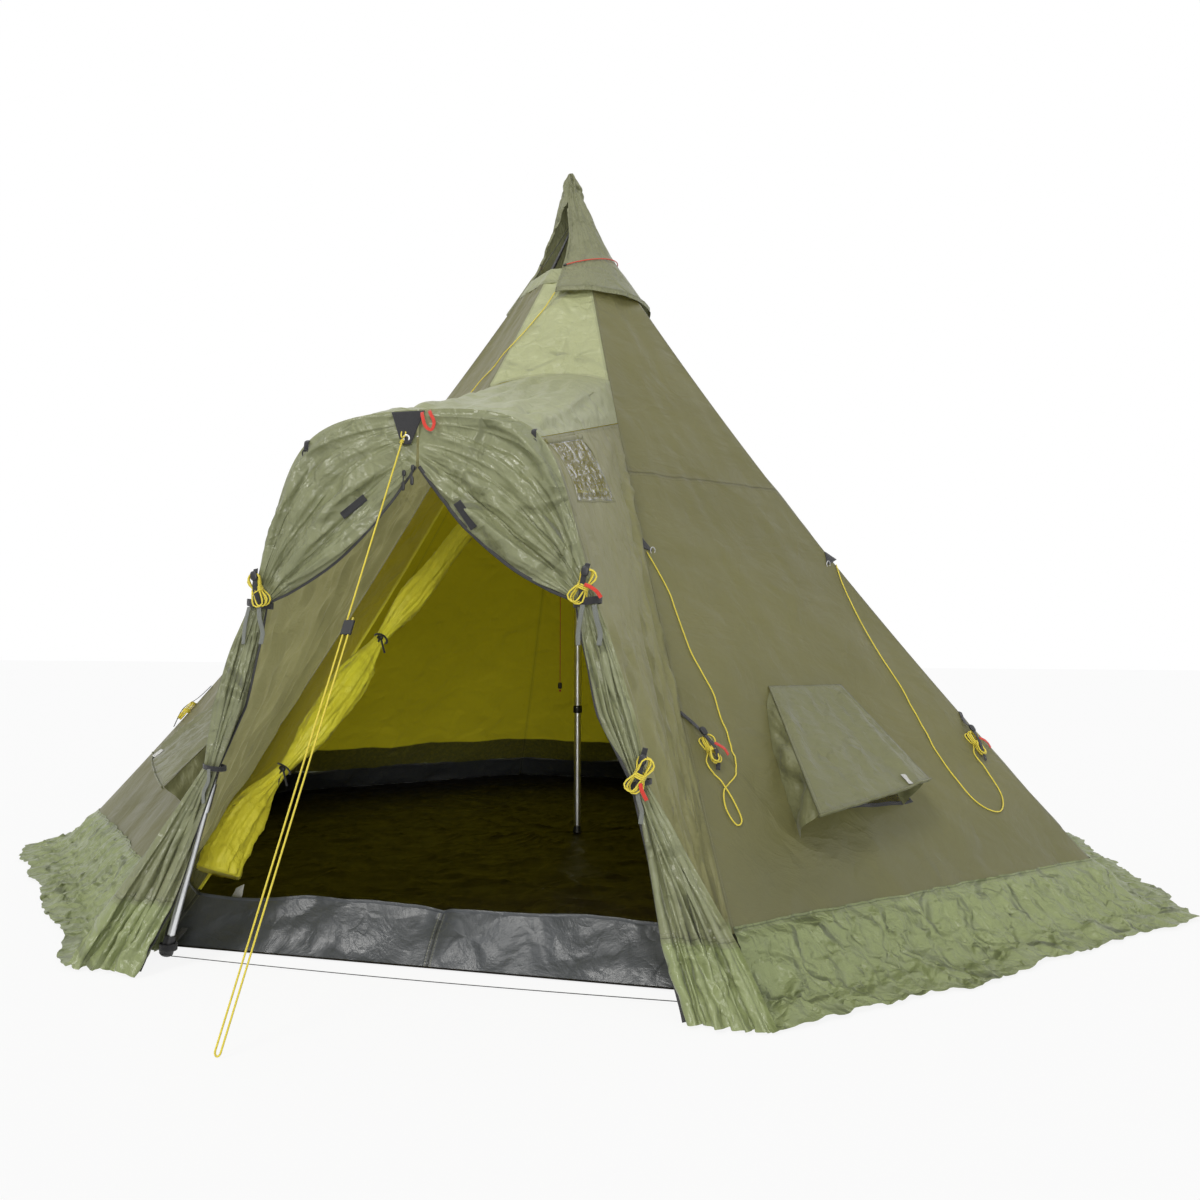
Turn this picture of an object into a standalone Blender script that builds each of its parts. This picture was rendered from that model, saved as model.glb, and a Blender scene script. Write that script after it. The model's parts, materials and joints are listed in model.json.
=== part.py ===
"""Eight-sided single-pole tent with an arched porch, an inner tent, vent hoods and a storm cap.

Metres, +Z up. The centre pole stands on the origin and the door faces -Y. Every sewn panel, pole, vent,
cord and fitting is its own closed solid.
"""
import math

import bmesh
import bpy
import numpy as np
from mathutils import Matrix, Vector

# Body of the tent
SIDES = 8
HALF_TURN = math.pi / SIDES
POLE_TOP = 2.595
WALL_APEX_RISE = 0.032
WALL_APEX = round(POLE_TOP + WALL_APEX_RISE, 4)
WALL_SLOPE = 0.630
WALL_FLARE_LENGTH = 24.39
WALL_FOOT_FLARE_LENGTH = 18.257
PANEL_TOP = 2.24
PANEL_FOOT = 0.13
COLLAR_TOP = 2.31

# Cloth and clearances
FABRIC = 0.003
FLAP_CLOTH = 0.002
TOUCH = 0.0003
LOOSE = 0.0008
ON_WALL = 0.0018
CLOSE = 0.0004
SEAM_BACK = 0.0002
PANEL_EDGE = FABRIC * math.tan(HALF_TURN) + TOUCH

# Snow skirt
SKIRT_LAP = 0.012
SKIRT_REACH = 0.135
SKIRT_EDGE = 0.006
SKIRT_WAVE = 0.010
SKIRT_WAVES = 4

# Porch
PORCH_Y = -1.82
ARCH_FOOT_HALF = 0.655
ARCH_KNEE_HALF = 0.375
ARCH_KNEE_HEIGHT = 1.00
ARCH_SHOULDER_HALF = 0.308
ARCH_SHOULDER_HEIGHT = 1.24
ARCH_BROW_HALF = 0.31
ARCH_TOP = 1.31
ARCH_BEND = 0.45
ARCH_FERRULE_HEIGHT = 0.43
ARCH_RADIUS = 0.0095
ARCH_FERRULE_RADIUS = 0.0125
ARCH_FERRULE_DEPTH = 0.06
ARCH_FOOT_RADIUS = 0.017
ARCH_FOOT_HEIGHT = 0.035
ARCH_FOOT_DEPTH = 0.004
ROOF_EDGE = 0.225
ROOF_SEAM_SIDE = 1.73
ROOF_SEAM_RISE = 0.045
ROOF_CORNER = 1.545
ROOF_SAG = 0.020
ROOF_GAP = 0.0015
HEM = 0.030
SIDE_FOOT = 0.008

# Door flaps
TIE_HEIGHT = 0.865
LOW_TIE_HEIGHT = 0.47
FLAP_FOLDS = 4
FLAP_SHALLOW = 0.0015
FREE_EDGE = ((0.004, 1.190), (0.060, 1.115), (0.130, 1.035), (0.215, 0.960), (0.315, 0.900), (0.385, 0.870))
FLAP_LOW_HEIGHTS = (0.006, 0.15, 0.30, LOW_TIE_HEIGHT, 0.62, 0.78, TIE_HEIGHT)
FLAP_LOW_INNER = (0.020, 0.030, 0.020, 0.016, 0.045, 0.040, 0.028)
FLAP_LOW_OUTER = (0.125, 0.110, 0.070, 0.020, 0.035, 0.028, 0.018)
FLAP_LOW_FORWARD = (0.105, 0.060, 0.022, 0.002, 0.004, 0.003, 0.001)

# Window in the right side of the porch
WINDOW_TOP = (0.12, 0.44)
WINDOW_LOW = (0.19, 0.66)
WINDOW_DOWN = (0.085, 0.340)
PANE = 0.0012

# Vents
VENT_HALF_TOP = 0.10
VENT_HALF_FOOT = 0.17
VENT_TOP = 0.60
VENT_FOOT = 0.34
VENT_SHIFT = 0.05
NET = 0.0010
HOOD_TOP = 0.655
HOOD_HALF_TOP = 0.151
HOOD_HALF_RIM = 0.250
HOOD_RIM_SHIFT = 0.050
HOOD_LENGTH = 0.44
HOOD_SKEW = 0.18
HOOD_OPEN = math.radians(13.0)
HOOD_HINGE_OUT = 0.0018
GUSSET_DROP = 0.075

# Poles
POLE_RADIUS = 0.016
POLE_WALL = 0.0012
SLIDE_GAP = 0.0004
LOWER_POLE_RADIUS = POLE_RADIUS - POLE_WALL - SLIDE_GAP
POLE_JOINT = 0.497
POLE_OVERLAP = 0.10
FOOT_PLUG_HEIGHT = 0.03

# Peak and storm cap
PEAK_DISC_RADIUS = 0.024
PEAK_STRAP_WIDTH = 0.012
CAP_TIP_RISE = 0.205
CAP_NECK_RISE = 0.070
CAP_SHOULDER_RISE = 0.025
CAP_SHOULDER_DROP = 0.015
CAP_FOOT_HEIGHT = 2.170
CAP_CLEAR = 0.006
CAP_START = math.radians(-5.0)
CAP_GAP = math.radians(68.0)
ELASTIC_RADIUS = 0.0022
ELASTIC_LOW = 2.315
ELASTIC_RISE = 0.075

# Inner tent and groundsheet
INNER_INSET = 0.10
INNER_TOP = 2.4250
INNER_DOOR_TOP = 1.30
FLOOR = 0.004
TUB_HEIGHT = 0.11
ROLL_RADIUS = 0.042
ROLL_TIES = (0.37, 0.75)
ROLL_LINE = (
    (-0.195, -0.902, 1.156), (-0.275, -1.015, 0.999), (-0.363, -1.143, 0.824), (-0.438, -1.285, 0.637),
    (-0.513, -1.413, 0.470), (-0.5902, -1.5037, 0.3465), (-0.6244, -1.6041, 0.2195),
    (-0.630, -1.635, 0.165),
)

# Cords
GUY_RADIUS = 0.002
SPREADER_RADIUS = 0.001
HANG_CORD_RADIUS = 0.0015
HANK_LOOPS = 4
HANK_HALF_LENGTH = 0.042
HANK_HALF_WIDTH = 0.013
HANK_WAIST = 0.009
HANK_PITCH = 0.0048
HANK_OFF_WALL = 0.0014
CORD_OFF_WALL = 0.0014
GUY_GROUND = (-0.197, -2.315)
GUY_LOOP_RADIUS = 0.008
SLIDER_AT = 0.36
SLIDER = (0.030, 0.007, 0.034)
CORD_HOLE_GAP = 0.0004
HANG_CORD_AT = (-0.076, 0.0)
HANG_CORD_HEAD = 2.3240
HANG_CORD_FOOT = 0.590
LOCK_RADIUS = 0.009
LOCK_LENGTH = 0.026
EYELET = (-0.024, 1.256)
PATCH_TOP = ARCH_TOP + ARCH_RADIUS + 0.003
PATCH_LEAN = 0.12
PATCH_CLOTH = 0.002

# Cord routes on the front right wall, as metres across from the wall's centre and metres of height
FRONT_RIGHT_BRIDLE = (
    (-0.412, 1.060), (-0.402, 1.000), (-0.400, 0.930), (-0.412, 0.872), (-0.426, 0.795), (-0.432, 0.743),
    (-0.426, 0.690), (-0.420, 0.640), (-0.428, 0.600), (-0.440, 0.540), (-0.455, 0.480), (-0.478, 0.440),
    (-0.515, 0.420), (-0.548, 0.402), (-0.565, 0.365), (-0.556, 0.330), (-0.530, 0.340), (-0.528, 0.385),
    (-0.541, 0.425), (-0.560, 0.455), (-0.558, 0.478),
)
RIGHT_BRIDLE = (
    (0.420, 1.060), (0.400, 0.990), (0.385, 0.900), (0.370, 0.800), (0.364, 0.735), (0.366, 0.654),
    (0.362, 0.566), (0.348, 0.487), (0.345, 0.414), (0.356, 0.348), (0.385, 0.303), (0.428, 0.283),
    (0.465, 0.290), (0.500, 0.318), (0.510, 0.352), (0.505, 0.390), (0.499, 0.420), (0.504, 0.446),
)


# The cap's line: the wall it runs on, metres across it, height, and how far it bows off the cloth
CAP_LINE_ROUTE = (
    (0, -0.072, 2.090, 0.000), (0, -0.120, 2.005, 0.000), (0, -0.166, 1.925, 0.004),
    (-45, 0.166, 1.885, 0.004),
    (-45, 0.068, 1.771, 0.000), (-45, -0.030, 1.640, 0.000), (-45, -0.140, 1.485, 0.000),
    (-45, -0.250, 1.330, 0.000), (-45, -0.345, 1.190, 0.000), (-45, -0.395, 1.110, 0.000),
)


def clear_scene():
    for item in list(bpy.data.objects):
        bpy.data.objects.remove(item, do_unlink=True)


def collection(name):
    group = bpy.data.collections.new(name)
    bpy.context.scene.collection.children.link(group)
    return group


def material(name, colour, roughness, metallic=0.0):
    """One plain Principled material."""
    made = bpy.data.materials.new(name)
    made.use_nodes = True
    shader = made.node_tree.nodes["Principled BSDF"]
    shader.inputs["Base Color"].default_value = (*colour, 1.0)
    shader.inputs["Roughness"].default_value = roughness
    shader.inputs["Metallic"].default_value = metallic
    return made


def add(name, data, group, finish):
    item = bpy.data.objects.new(name, data)
    group.objects.link(item)
    data.materials.append(finish)
    return item


def lerp(low, high, share):
    return low + (high - low) * share


# The tent's walls: eight flared faces round the pole
def ridge_radius(z):
    """Distance from the pole to a ridge at height z: a straight slope plus a flare towards the ground."""
    drop = WALL_APEX - z
    return WALL_SLOPE * drop + drop ** 2 / WALL_FLARE_LENGTH + drop ** 3 / WALL_FOOT_FLARE_LENGTH ** 2


def face_distance(z):
    return ridge_radius(z) * math.cos(HALF_TURN)


def face_axes(face):
    """Outward and sideways directions of the wall that faces this many degrees from the door."""
    turn = math.radians(face)
    return Vector((math.sin(turn), -math.cos(turn), 0)), Vector((math.cos(turn), math.sin(turn), 0))


def wall_normal(face, z):
    """Outward unit normal of a wall at height z."""
    out, _ = face_axes(face)
    drop = WALL_APEX - z
    lean = WALL_SLOPE + 2 * drop / WALL_FLARE_LENGTH + 3 * (drop / WALL_FOOT_FLARE_LENGTH) ** 2
    return (out + Vector((0, 0, math.cos(HALF_TURN) * lean))).normalized()


def wall_at(face, sideways, z, off=0.0):
    """Point on a wall, given in metres across from its centre line, lifted off it by a distance."""
    out, side = face_axes(face)
    spot = out * face_distance(z) + side * sideways + Vector((0, 0, z))
    return spot + wall_normal(face, z) * off


def wall_half(z, edge=PANEL_EDGE):
    return face_distance(z) * math.tan(HALF_TURN) - edge


def ridge_at(turn, z, off=0.0):
    """Point on the ridge that stands this many degrees from the door, moved outwards."""
    angle = math.radians(turn)
    radius = ridge_radius(z) + off
    return Vector((radius * math.sin(angle), -radius * math.cos(angle), z))


# Shapes that all the cloth, tubes and turned pieces use
def sheet(name, surface, across, down, thickness, group, finish, side=1.0, flip=False):
    """A solid sheet: a grid carried on to surface(a, d), a and d from 0 to 1, then given its thickness."""
    mesh = bpy.data.meshes.new(name)
    grid = bmesh.new()
    bmesh.ops.create_grid(grid, x_segments=across, y_segments=down, size=1.0)
    for vertex in grid.verts:
        a = (vertex.co.x + 1) / 2
        d = (1 - vertex.co.y) / 2
        vertex.co = surface(a, d)
    if flip:
        bmesh.ops.reverse_faces(grid, faces=grid.faces)
    grid.to_mesh(mesh)
    grid.free()
    item = add(name, mesh, group, finish)
    solid = item.modifiers.new("Thickness", "SOLIDIFY")
    solid.thickness = thickness
    solid.offset = side
    solid.use_even_offset = True
    return item


def turned(name, profile, steps, group, finish, at=Vector((0, 0, 0)), along=Vector((0, 0, 1))):
    """A closed outline in radius and height, screwed round its axis, with its outer side run downwards."""
    mesh = bpy.data.meshes.new(name)
    swept = zip(profile, profile[1:] + profile[:1])
    area = sum(first[0] * second[1] - second[0] * first[1] for first, second in swept)
    if area > 0:
        profile = profile[::-1]
    points = [(radius, 0, height) for radius, height in profile]
    loop = [(k, (k + 1) % len(points)) for k in range(len(points))]
    edges = [pair for pair in loop if points[pair[0]][0] > 1e-9 or points[pair[1]][0] > 1e-9]
    mesh.from_pydata(points, edges, [])
    item = add(name, mesh, group, finish)
    screw = item.modifiers.new("Turn", "SCREW")
    screw.steps = steps
    screw.render_steps = steps
    screw.use_merge_vertices = True
    screw.merge_threshold = 0.00005
    item.matrix_world = Matrix.Translation(at) @ along.to_track_quat("Z", "Y").to_matrix().to_4x4()
    return item


def tube(name, points, radius, group, finish, rounds=2, radii=None):
    """A round cord or rod along a run of points."""
    curve = bpy.data.curves.new(name, "CURVE")
    curve.dimensions = "3D"
    curve.bevel_depth = radius
    curve.bevel_resolution = rounds
    curve.render_resolution_u = 0
    curve.use_fill_caps = True
    line = curve.splines.new("POLY")
    line.points.add(len(points) - 1)
    for k, point in enumerate(points):
        line.points[k].co = (*point, 1)
        line.points[k].radius = radii[k] if radii else 1.0
    return add(name, curve, group, finish)


def smooth_run(points, count):
    """Points along a smooth curve through the given ones, at even steps of its length."""
    given = [Vector(point) for point in points]
    ends = [given[0] * 2 - given[1]] + given + [given[-1] * 2 - given[-2]]
    fine = []
    for k in range(1, len(ends) - 2):
        before, here, there, after = ends[k - 1], ends[k], ends[k + 1], ends[k + 2]
        for step in range(12):
            s = step / 12
            fine.append(0.5 * (here * 2 + (there - before) * s
                               + (before * 2 - here * 5 + there * 4 - after) * s * s
                               + (here * 3 - before - there * 3 + after) * s ** 3))
    fine.append(given[-1])
    lengths = [0.0]
    for first, second in zip(fine, fine[1:]):
        lengths.append(lengths[-1] + (second - first).length)
    wanted = np.linspace(0, lengths[-1], count)
    return [Vector([float(np.interp(w, lengths, [p[axis] for p in fine])) for axis in range(3)])
            for w in wanted]


def cut(item, cutter):
    change = item.modifiers.new("Opening", "BOOLEAN")
    change.operation = "DIFFERENCE"
    change.solver = "EXACT"
    change.object = cutter
    cutter.hide_render = True
    cutter.display_type = "WIRE"


def box_mesh(name, size):
    mesh = bpy.data.meshes.new(name)
    form = bmesh.new()
    bmesh.ops.create_cube(form, size=1.0, matrix=Matrix.Diagonal((*size, 1.0)))
    form.to_mesh(mesh)
    form.free()
    return mesh


# The porch pole's centre line
def arch_at(t):
    """Half width and height of the arch at t, 0 at its top and 1 at its foot: a bend, then a straight leg."""
    if t >= ARCH_BEND:
        share = (t - ARCH_BEND) / (1 - ARCH_BEND)
        return lerp(ARCH_KNEE_HALF, ARCH_FOOT_HALF, share), ARCH_KNEE_HEIGHT * (1 - share)
    s = t / ARCH_BEND
    ring = ((1 - s) ** 3, 3 * s * (1 - s) ** 2, 3 * s * s * (1 - s), s ** 3)
    halves = (0.0, ARCH_BROW_HALF, ARCH_SHOULDER_HALF, ARCH_KNEE_HALF)
    heights = (ARCH_TOP, ARCH_TOP, ARCH_SHOULDER_HEIGHT, ARCH_KNEE_HEIGHT)
    return sum(r * h for r, h in zip(ring, halves)), sum(r * h for r, h in zip(ring, heights))


def arch_off(t, out, y, hand=1):
    """Point beside the arch, `out` metres outside its centre line."""
    near = arch_at(max(abs(t) - 0.005, 0))
    far = arch_at(min(abs(t) + 0.005, 1))
    along = Vector((far[0] - near[0], far[1] - near[1])).normalized()
    half, height = arch_at(abs(t))
    return Vector((hand * (half - along.y * out), y, height + along.x * out))


def leg_half(z):
    """Half width between the arch's straight legs at height z."""
    return lerp(ARCH_FOOT_HALF, ARCH_KNEE_HALF, z / ARCH_KNEE_HEIGHT)


def leg_share(z):
    """The arch parameter of a height on its straight leg."""
    return 1 - (1 - ARCH_BEND) * z / ARCH_KNEE_HEIGHT


def cloth_out(t):
    """How far outside the pole's centre line the cloth runs, so that it clears the joint and the foot."""
    height = arch_at(abs(t))[1]
    bend = ARCH_RADIUS + 0.0015
    clear = (ARCH_FOOT_RADIUS, ARCH_FOOT_RADIUS, ARCH_FERRULE_RADIUS, ARCH_FERRULE_RADIUS, ARCH_RADIUS,
             bend, bend)
    return float(np.interp(height, (0.0, 0.14, 0.26, 0.54, 0.66, 0.98, 1.25), clear)) + LOOSE


# Outer tent
def make_walls(group, cloth, cutters):
    walls = {}
    names = {45: "front_right", 90: "right", 135: "back_right", 180: "back", -135: "back_left",
             -90: "left", -45: "front_left"}
    for face, where in names.items():
        def surface(a, d, face=face):
            z = lerp(PANEL_TOP, PANEL_FOOT, d)
            return wall_at(face, lerp(-1, 1, a) * wall_half(z), z)
        columns = 3 if abs(face) == 45 else 1
        walls[face] = sheet("wall_" + where, surface, columns, 8, FABRIC, group, cloth, side=-1)

    def front(a, d):
        across = lerp(-1, 1, a)
        z = lerp(PANEL_TOP, ROOF_SEAM_SIDE + ROOF_SEAM_RISE * (1 - across ** 2), d)
        return wall_at(0, across * wall_half(z), z)
    sheet("front_panel", front, 8, 4, FABRIC, group, cloth, side=-1)
    return walls


def make_collar(group, finish):
    """The light band round the crown, on top of the walls, open in the middle for the pole."""
    low = PANEL_TOP + LOOSE
    profile = [(ridge_radius(low) - FABRIC, low), (ridge_radius(COLLAR_TOP) - FABRIC, COLLAR_TOP),
               (ridge_radius(COLLAR_TOP), COLLAR_TOP), (ridge_radius(low), low)]
    collar = turned("crown_collar", profile, SIDES, group, finish)
    collar.matrix_world = Matrix.Rotation(HALF_TURN, 4, "Z")


def make_skirts(group, cloth):
    """Two strips: each hangs from the feet of its walls, turns outwards and lies on the ground in waves."""
    stations = (0.0, 0.28, 0.50, 0.62, 1.0)
    heights = (PANEL_FOOT + SKIRT_LAP, 0.065, 0.012, 0.0, 0.0)
    base = face_distance(0)
    reach = (None, face_distance(0.065) + 0.008, base + 0.012, base + 0.045, base + SKIRT_REACH)
    for where, faces in (("right", (45, 90, 135, 180)), ("left", (-135, -90, -45))):
        def surface(a, d, faces=faces):
            place = a * len(faces)
            panel = min(int(place), len(faces) - 1)
            out, side = face_axes(faces[panel])
            top = wall_at(faces[panel], 0, heights[0], TOUCH)
            distance = float(np.interp(d, stations, (top.dot(out),) + reach[1:]))
            z = float(np.interp(d, stations, (top.z,) + heights[1:]))
            wave = 0.5 - 0.5 * math.cos(2 * math.pi * SKIRT_WAVES * (place - panel))
            z += SKIRT_WAVE * wave * min(max((d - 0.5) * 4, 0), 1)
            edge = lerp(SKIRT_EDGE, 0, min(a, 1 - a) * 12 * len(faces))
            edge = max(edge, 0) * (1 if a > 0.5 else -1)
            across = lerp(-1, 1, place - panel)
            sideways = across * distance * math.tan(HALF_TURN) - edge
            return out * distance + side * sideways + Vector((0, 0, z))
        sheet("skirt_" + where, surface, 12 * len(faces), 6, FABRIC, group, cloth)


# Porch
def roof_seam(across):
    """Back edge of the porch roof: along the front panel's foot, then down each front ridge."""
    reach = abs(across)
    turn = 0.78
    hand = 1 if across >= 0 else -1
    if reach <= turn:
        share = reach / turn
        z = ROOF_SEAM_SIDE + ROOF_SEAM_RISE * (1 - share ** 2)
        spot = wall_at(0, hand * share * wall_half(z, 0), z)
    else:
        z = lerp(ROOF_SEAM_SIDE, ROOF_CORNER, (reach - turn) / (1 - turn))
        spot = ridge_at(hand * math.degrees(HALF_TURN), z)
    return spot + Vector((0, -LOOSE, 0))


def hem_then_ruled(edge, inner_edge, back, v, slack):
    """Across the hem first, level, and then straight to the back edge, a little slack."""
    if v <= 0.1:
        return edge.lerp(inner_edge, v / 0.1)
    share = (v - 0.1) / 0.9
    return inner_edge.lerp(back, share) - Vector((0, 0, slack * 4 * share * (1 - share)))


def make_porch(group, cloth, pane_finish, cutters):
    def roof(a, d):
        across = lerp(-1, 1, a)
        hand = 1 if across >= 0 else -1
        t = abs(across) * ROOF_EDGE
        edge = arch_off(t, cloth_out(t), PORCH_Y - HEM / 2, hand)
        inner = arch_off(t, cloth_out(t), PORCH_Y + HEM / 2, hand)
        return hem_then_ruled(edge, inner, roof_seam(across), d, ROOF_SAG * (1 - across ** 2))
    sheet("porch_roof", roof, 16, 10, FABRIC, group, cloth, side=1, flip=True)

    def side_point(hand, a, d, margin=0.0):
        """Side of the porch, from the arch's leg (a 0) to the front ridge (a 1), top (d 0) to foot (d 1)."""
        d = d ** 1.5
        t = lerp(ROOF_EDGE + ROOF_GAP, leg_share(SIDE_FOOT), d)
        z = lerp(ROOF_CORNER - 2 * ROOF_GAP, SIDE_FOOT, d)
        edge = arch_off(t, cloth_out(t), PORCH_Y - HEM / 2, hand)
        inner = arch_off(t, cloth_out(t), PORCH_Y + HEM / 2, hand)
        back = ridge_at(hand * math.degrees(HALF_TURN), z) + Vector((0, SEAM_BACK, 0))
        if a <= 0.1:
            return edge.lerp(inner, a / 0.1)
        return inner.lerp(back, (a - 0.1) / 0.9)

    for hand, where in ((1, "right"), (-1, "left")):
        wall = sheet("porch_side_" + where, lambda a, d, hand=hand: side_point(hand, a, d), 10, 14, FABRIC,
                     group, cloth, side=1, flip=hand < 0)
        if hand < 0:
            continue

        def window(a, d, grow=0.0):
            near = lerp(WINDOW_TOP[0], WINDOW_LOW[0], d) - 3 * grow
            far = lerp(WINDOW_TOP[1], WINDOW_LOW[1], d) + 3 * grow
            return side_point(1, lerp(near, far, a), lerp(WINDOW_DOWN[0] - grow, WINDOW_DOWN[1] + grow, d))
        cutter = sheet("window_cut", window, 6, 4, FABRIC * 8, cutters, cloth, side=0)
        cut(wall, cutter)
        middle = (FABRIC - PANE) / 2
        lift = 0.0015
        pane = sheet("window_pane", lambda a, d: window(a, d, -lift), 6, 4, PANE, group, pane_finish, side=1)
        normal = (side_point(1, 0.5, 0.1) - side_point(1, 0.2, 0.1)).cross(
            side_point(1, 0.5, 0.2) - side_point(1, 0.5, 0.1)).normalized()
        pane.location = normal * (middle if normal.x > 0 else -middle)


def flap_point(hand, a, d):
    """Door flap, a from its outer edge to its free edge, d from the arch's top to the ground."""
    base_y = PORCH_Y - HEM / 2 - CLOSE
    if d <= 0.5:
        share = d / 0.5
        t = lerp(0.02, leg_share(TIE_HEIGHT), share)
        outer = arch_off(t, cloth_out(t) + FABRIC / 2, base_y)
        places = np.linspace(0, 1, len(FREE_EDGE))
        inner = Vector((float(np.interp(share, places, [p[0] for p in FREE_EDGE])), base_y,
                        float(np.interp(share, places, [p[1] for p in FREE_EDGE]))))
        depth = 0.022 * math.sin(math.pi * share) ** 1.2 + FLAP_SHALLOW
        forward = 0.0
    else:
        share = (d - 0.5) / 0.5
        z = lerp(TIE_HEIGHT, FLAP_LOW_HEIGHTS[0], share)
        outer = Vector((leg_half(z) + float(np.interp(z, FLAP_LOW_HEIGHTS, FLAP_LOW_OUTER)), base_y, z))
        inner = Vector((leg_half(z) - float(np.interp(z, FLAP_LOW_HEIGHTS, FLAP_LOW_INNER)), base_y, z))
        forward = float(np.interp(z, FLAP_LOW_HEIGHTS, FLAP_LOW_FORWARD))
        depth = 0.13 * (outer.x - inner.x)
    spot = outer.lerp(inner, a)
    spot.y -= forward + depth * (0.5 - 0.5 * math.cos(2 * math.pi * FLAP_FOLDS * a))
    spot.x *= hand
    return spot


def make_flaps(group, cloth):
    for hand, where in ((1, "right"), (-1, "left")):
        sheet("door_flap_" + where, lambda a, d, hand=hand: flap_point(hand, a, d), 16, 18, FLAP_CLOTH,
              group, cloth, flip=hand > 0)


# Vents: a netted hole in each front side wall, under a hood hinged on its top seam
def make_vents(group, walls, cutters, cloth, net):
    for hand, face, where in ((1, 45, "right"), (-1, -45, "left")):
        def hole(a, d, grow=0.0, off=0.0, hand=hand, face=face):
            z = lerp(VENT_TOP + grow, VENT_FOOT - grow, d)
            half = lerp(VENT_HALF_TOP, VENT_HALF_FOOT, d) + grow
            return wall_at(face, lerp(-1, 1, a) * half - hand * VENT_SHIFT, z, off)
        cutter = sheet("vent_cut_" + where, hole, 3, 3, FABRIC * 8, cutters, cloth, side=0)
        cut(walls[face], cutter)
        sheet("vent_net_" + where, lambda a, d, hole=hole: hole(a, d, -LOOSE, -FABRIC / 2), 3, 3, NET,
              group, net, side=0)

        out, side = face_axes(face)
        hinge = wall_at(face, -hand * VENT_SHIFT, HOOD_TOP, HOOD_HINGE_OUT)
        down_wall = (wall_at(face, 0, VENT_FOOT) - wall_at(face, 0, HOOD_TOP)).normalized()
        turn = Matrix.Rotation(-HOOD_OPEN, 3, side)
        down_hood = turn @ down_wall
        hood_out = down_hood.cross(side)

        def hood(a, d, hinge=hinge, side=side, down_hood=down_hood, face=face, hand=hand):
            across = lerp(-1, 1, a)
            near_door = -across * hand
            half = lerp(HOOD_HALF_TOP, HOOD_HALF_RIM * (1 + HOOD_SKEW * near_door), d)
            length = HOOD_LENGTH * (1 + 0.5 * HOOD_SKEW * near_door)
            sag = 0.012 * (1 - across ** 2) * d
            sideways = across * half - hand * HOOD_RIM_SHIFT * d
            return hinge + side * sideways + down_hood * length * d + wall_normal(face, 0.5) * sag
        sheet("vent_hood_" + where, hood, 6, 5, FABRIC, group, cloth)

        for end, label in ((1, "front"), (-1, "back")):
            outer_end = -hand * end

            def gusset(a, d, end=outer_end, hood=hood, face=face, hinge=hinge, hood_out=hood_out):
                """From the wall (a 0) out to just under the hood (a 1), below the hood's side edge."""
                d = lerp(0.16, 0.985, d)
                edge = hood(0.5 + 0.5 * end, d)
                across = face_axes(face)[1].dot(edge)
                foot_z = lerp(HOOD_TOP, edge.z - GUSSET_DROP, d)
                on_wall = wall_at(face, across - end * 0.02, foot_z, ON_WALL)
                under = edge - hood_out * 2.5 * CLOSE
                return on_wall.lerp(under, a)
            sheet("vent_gusset_%s_%s" % (where, label), gusset, 2, 5, 0.001, group, cloth, side=outer_end)


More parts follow.
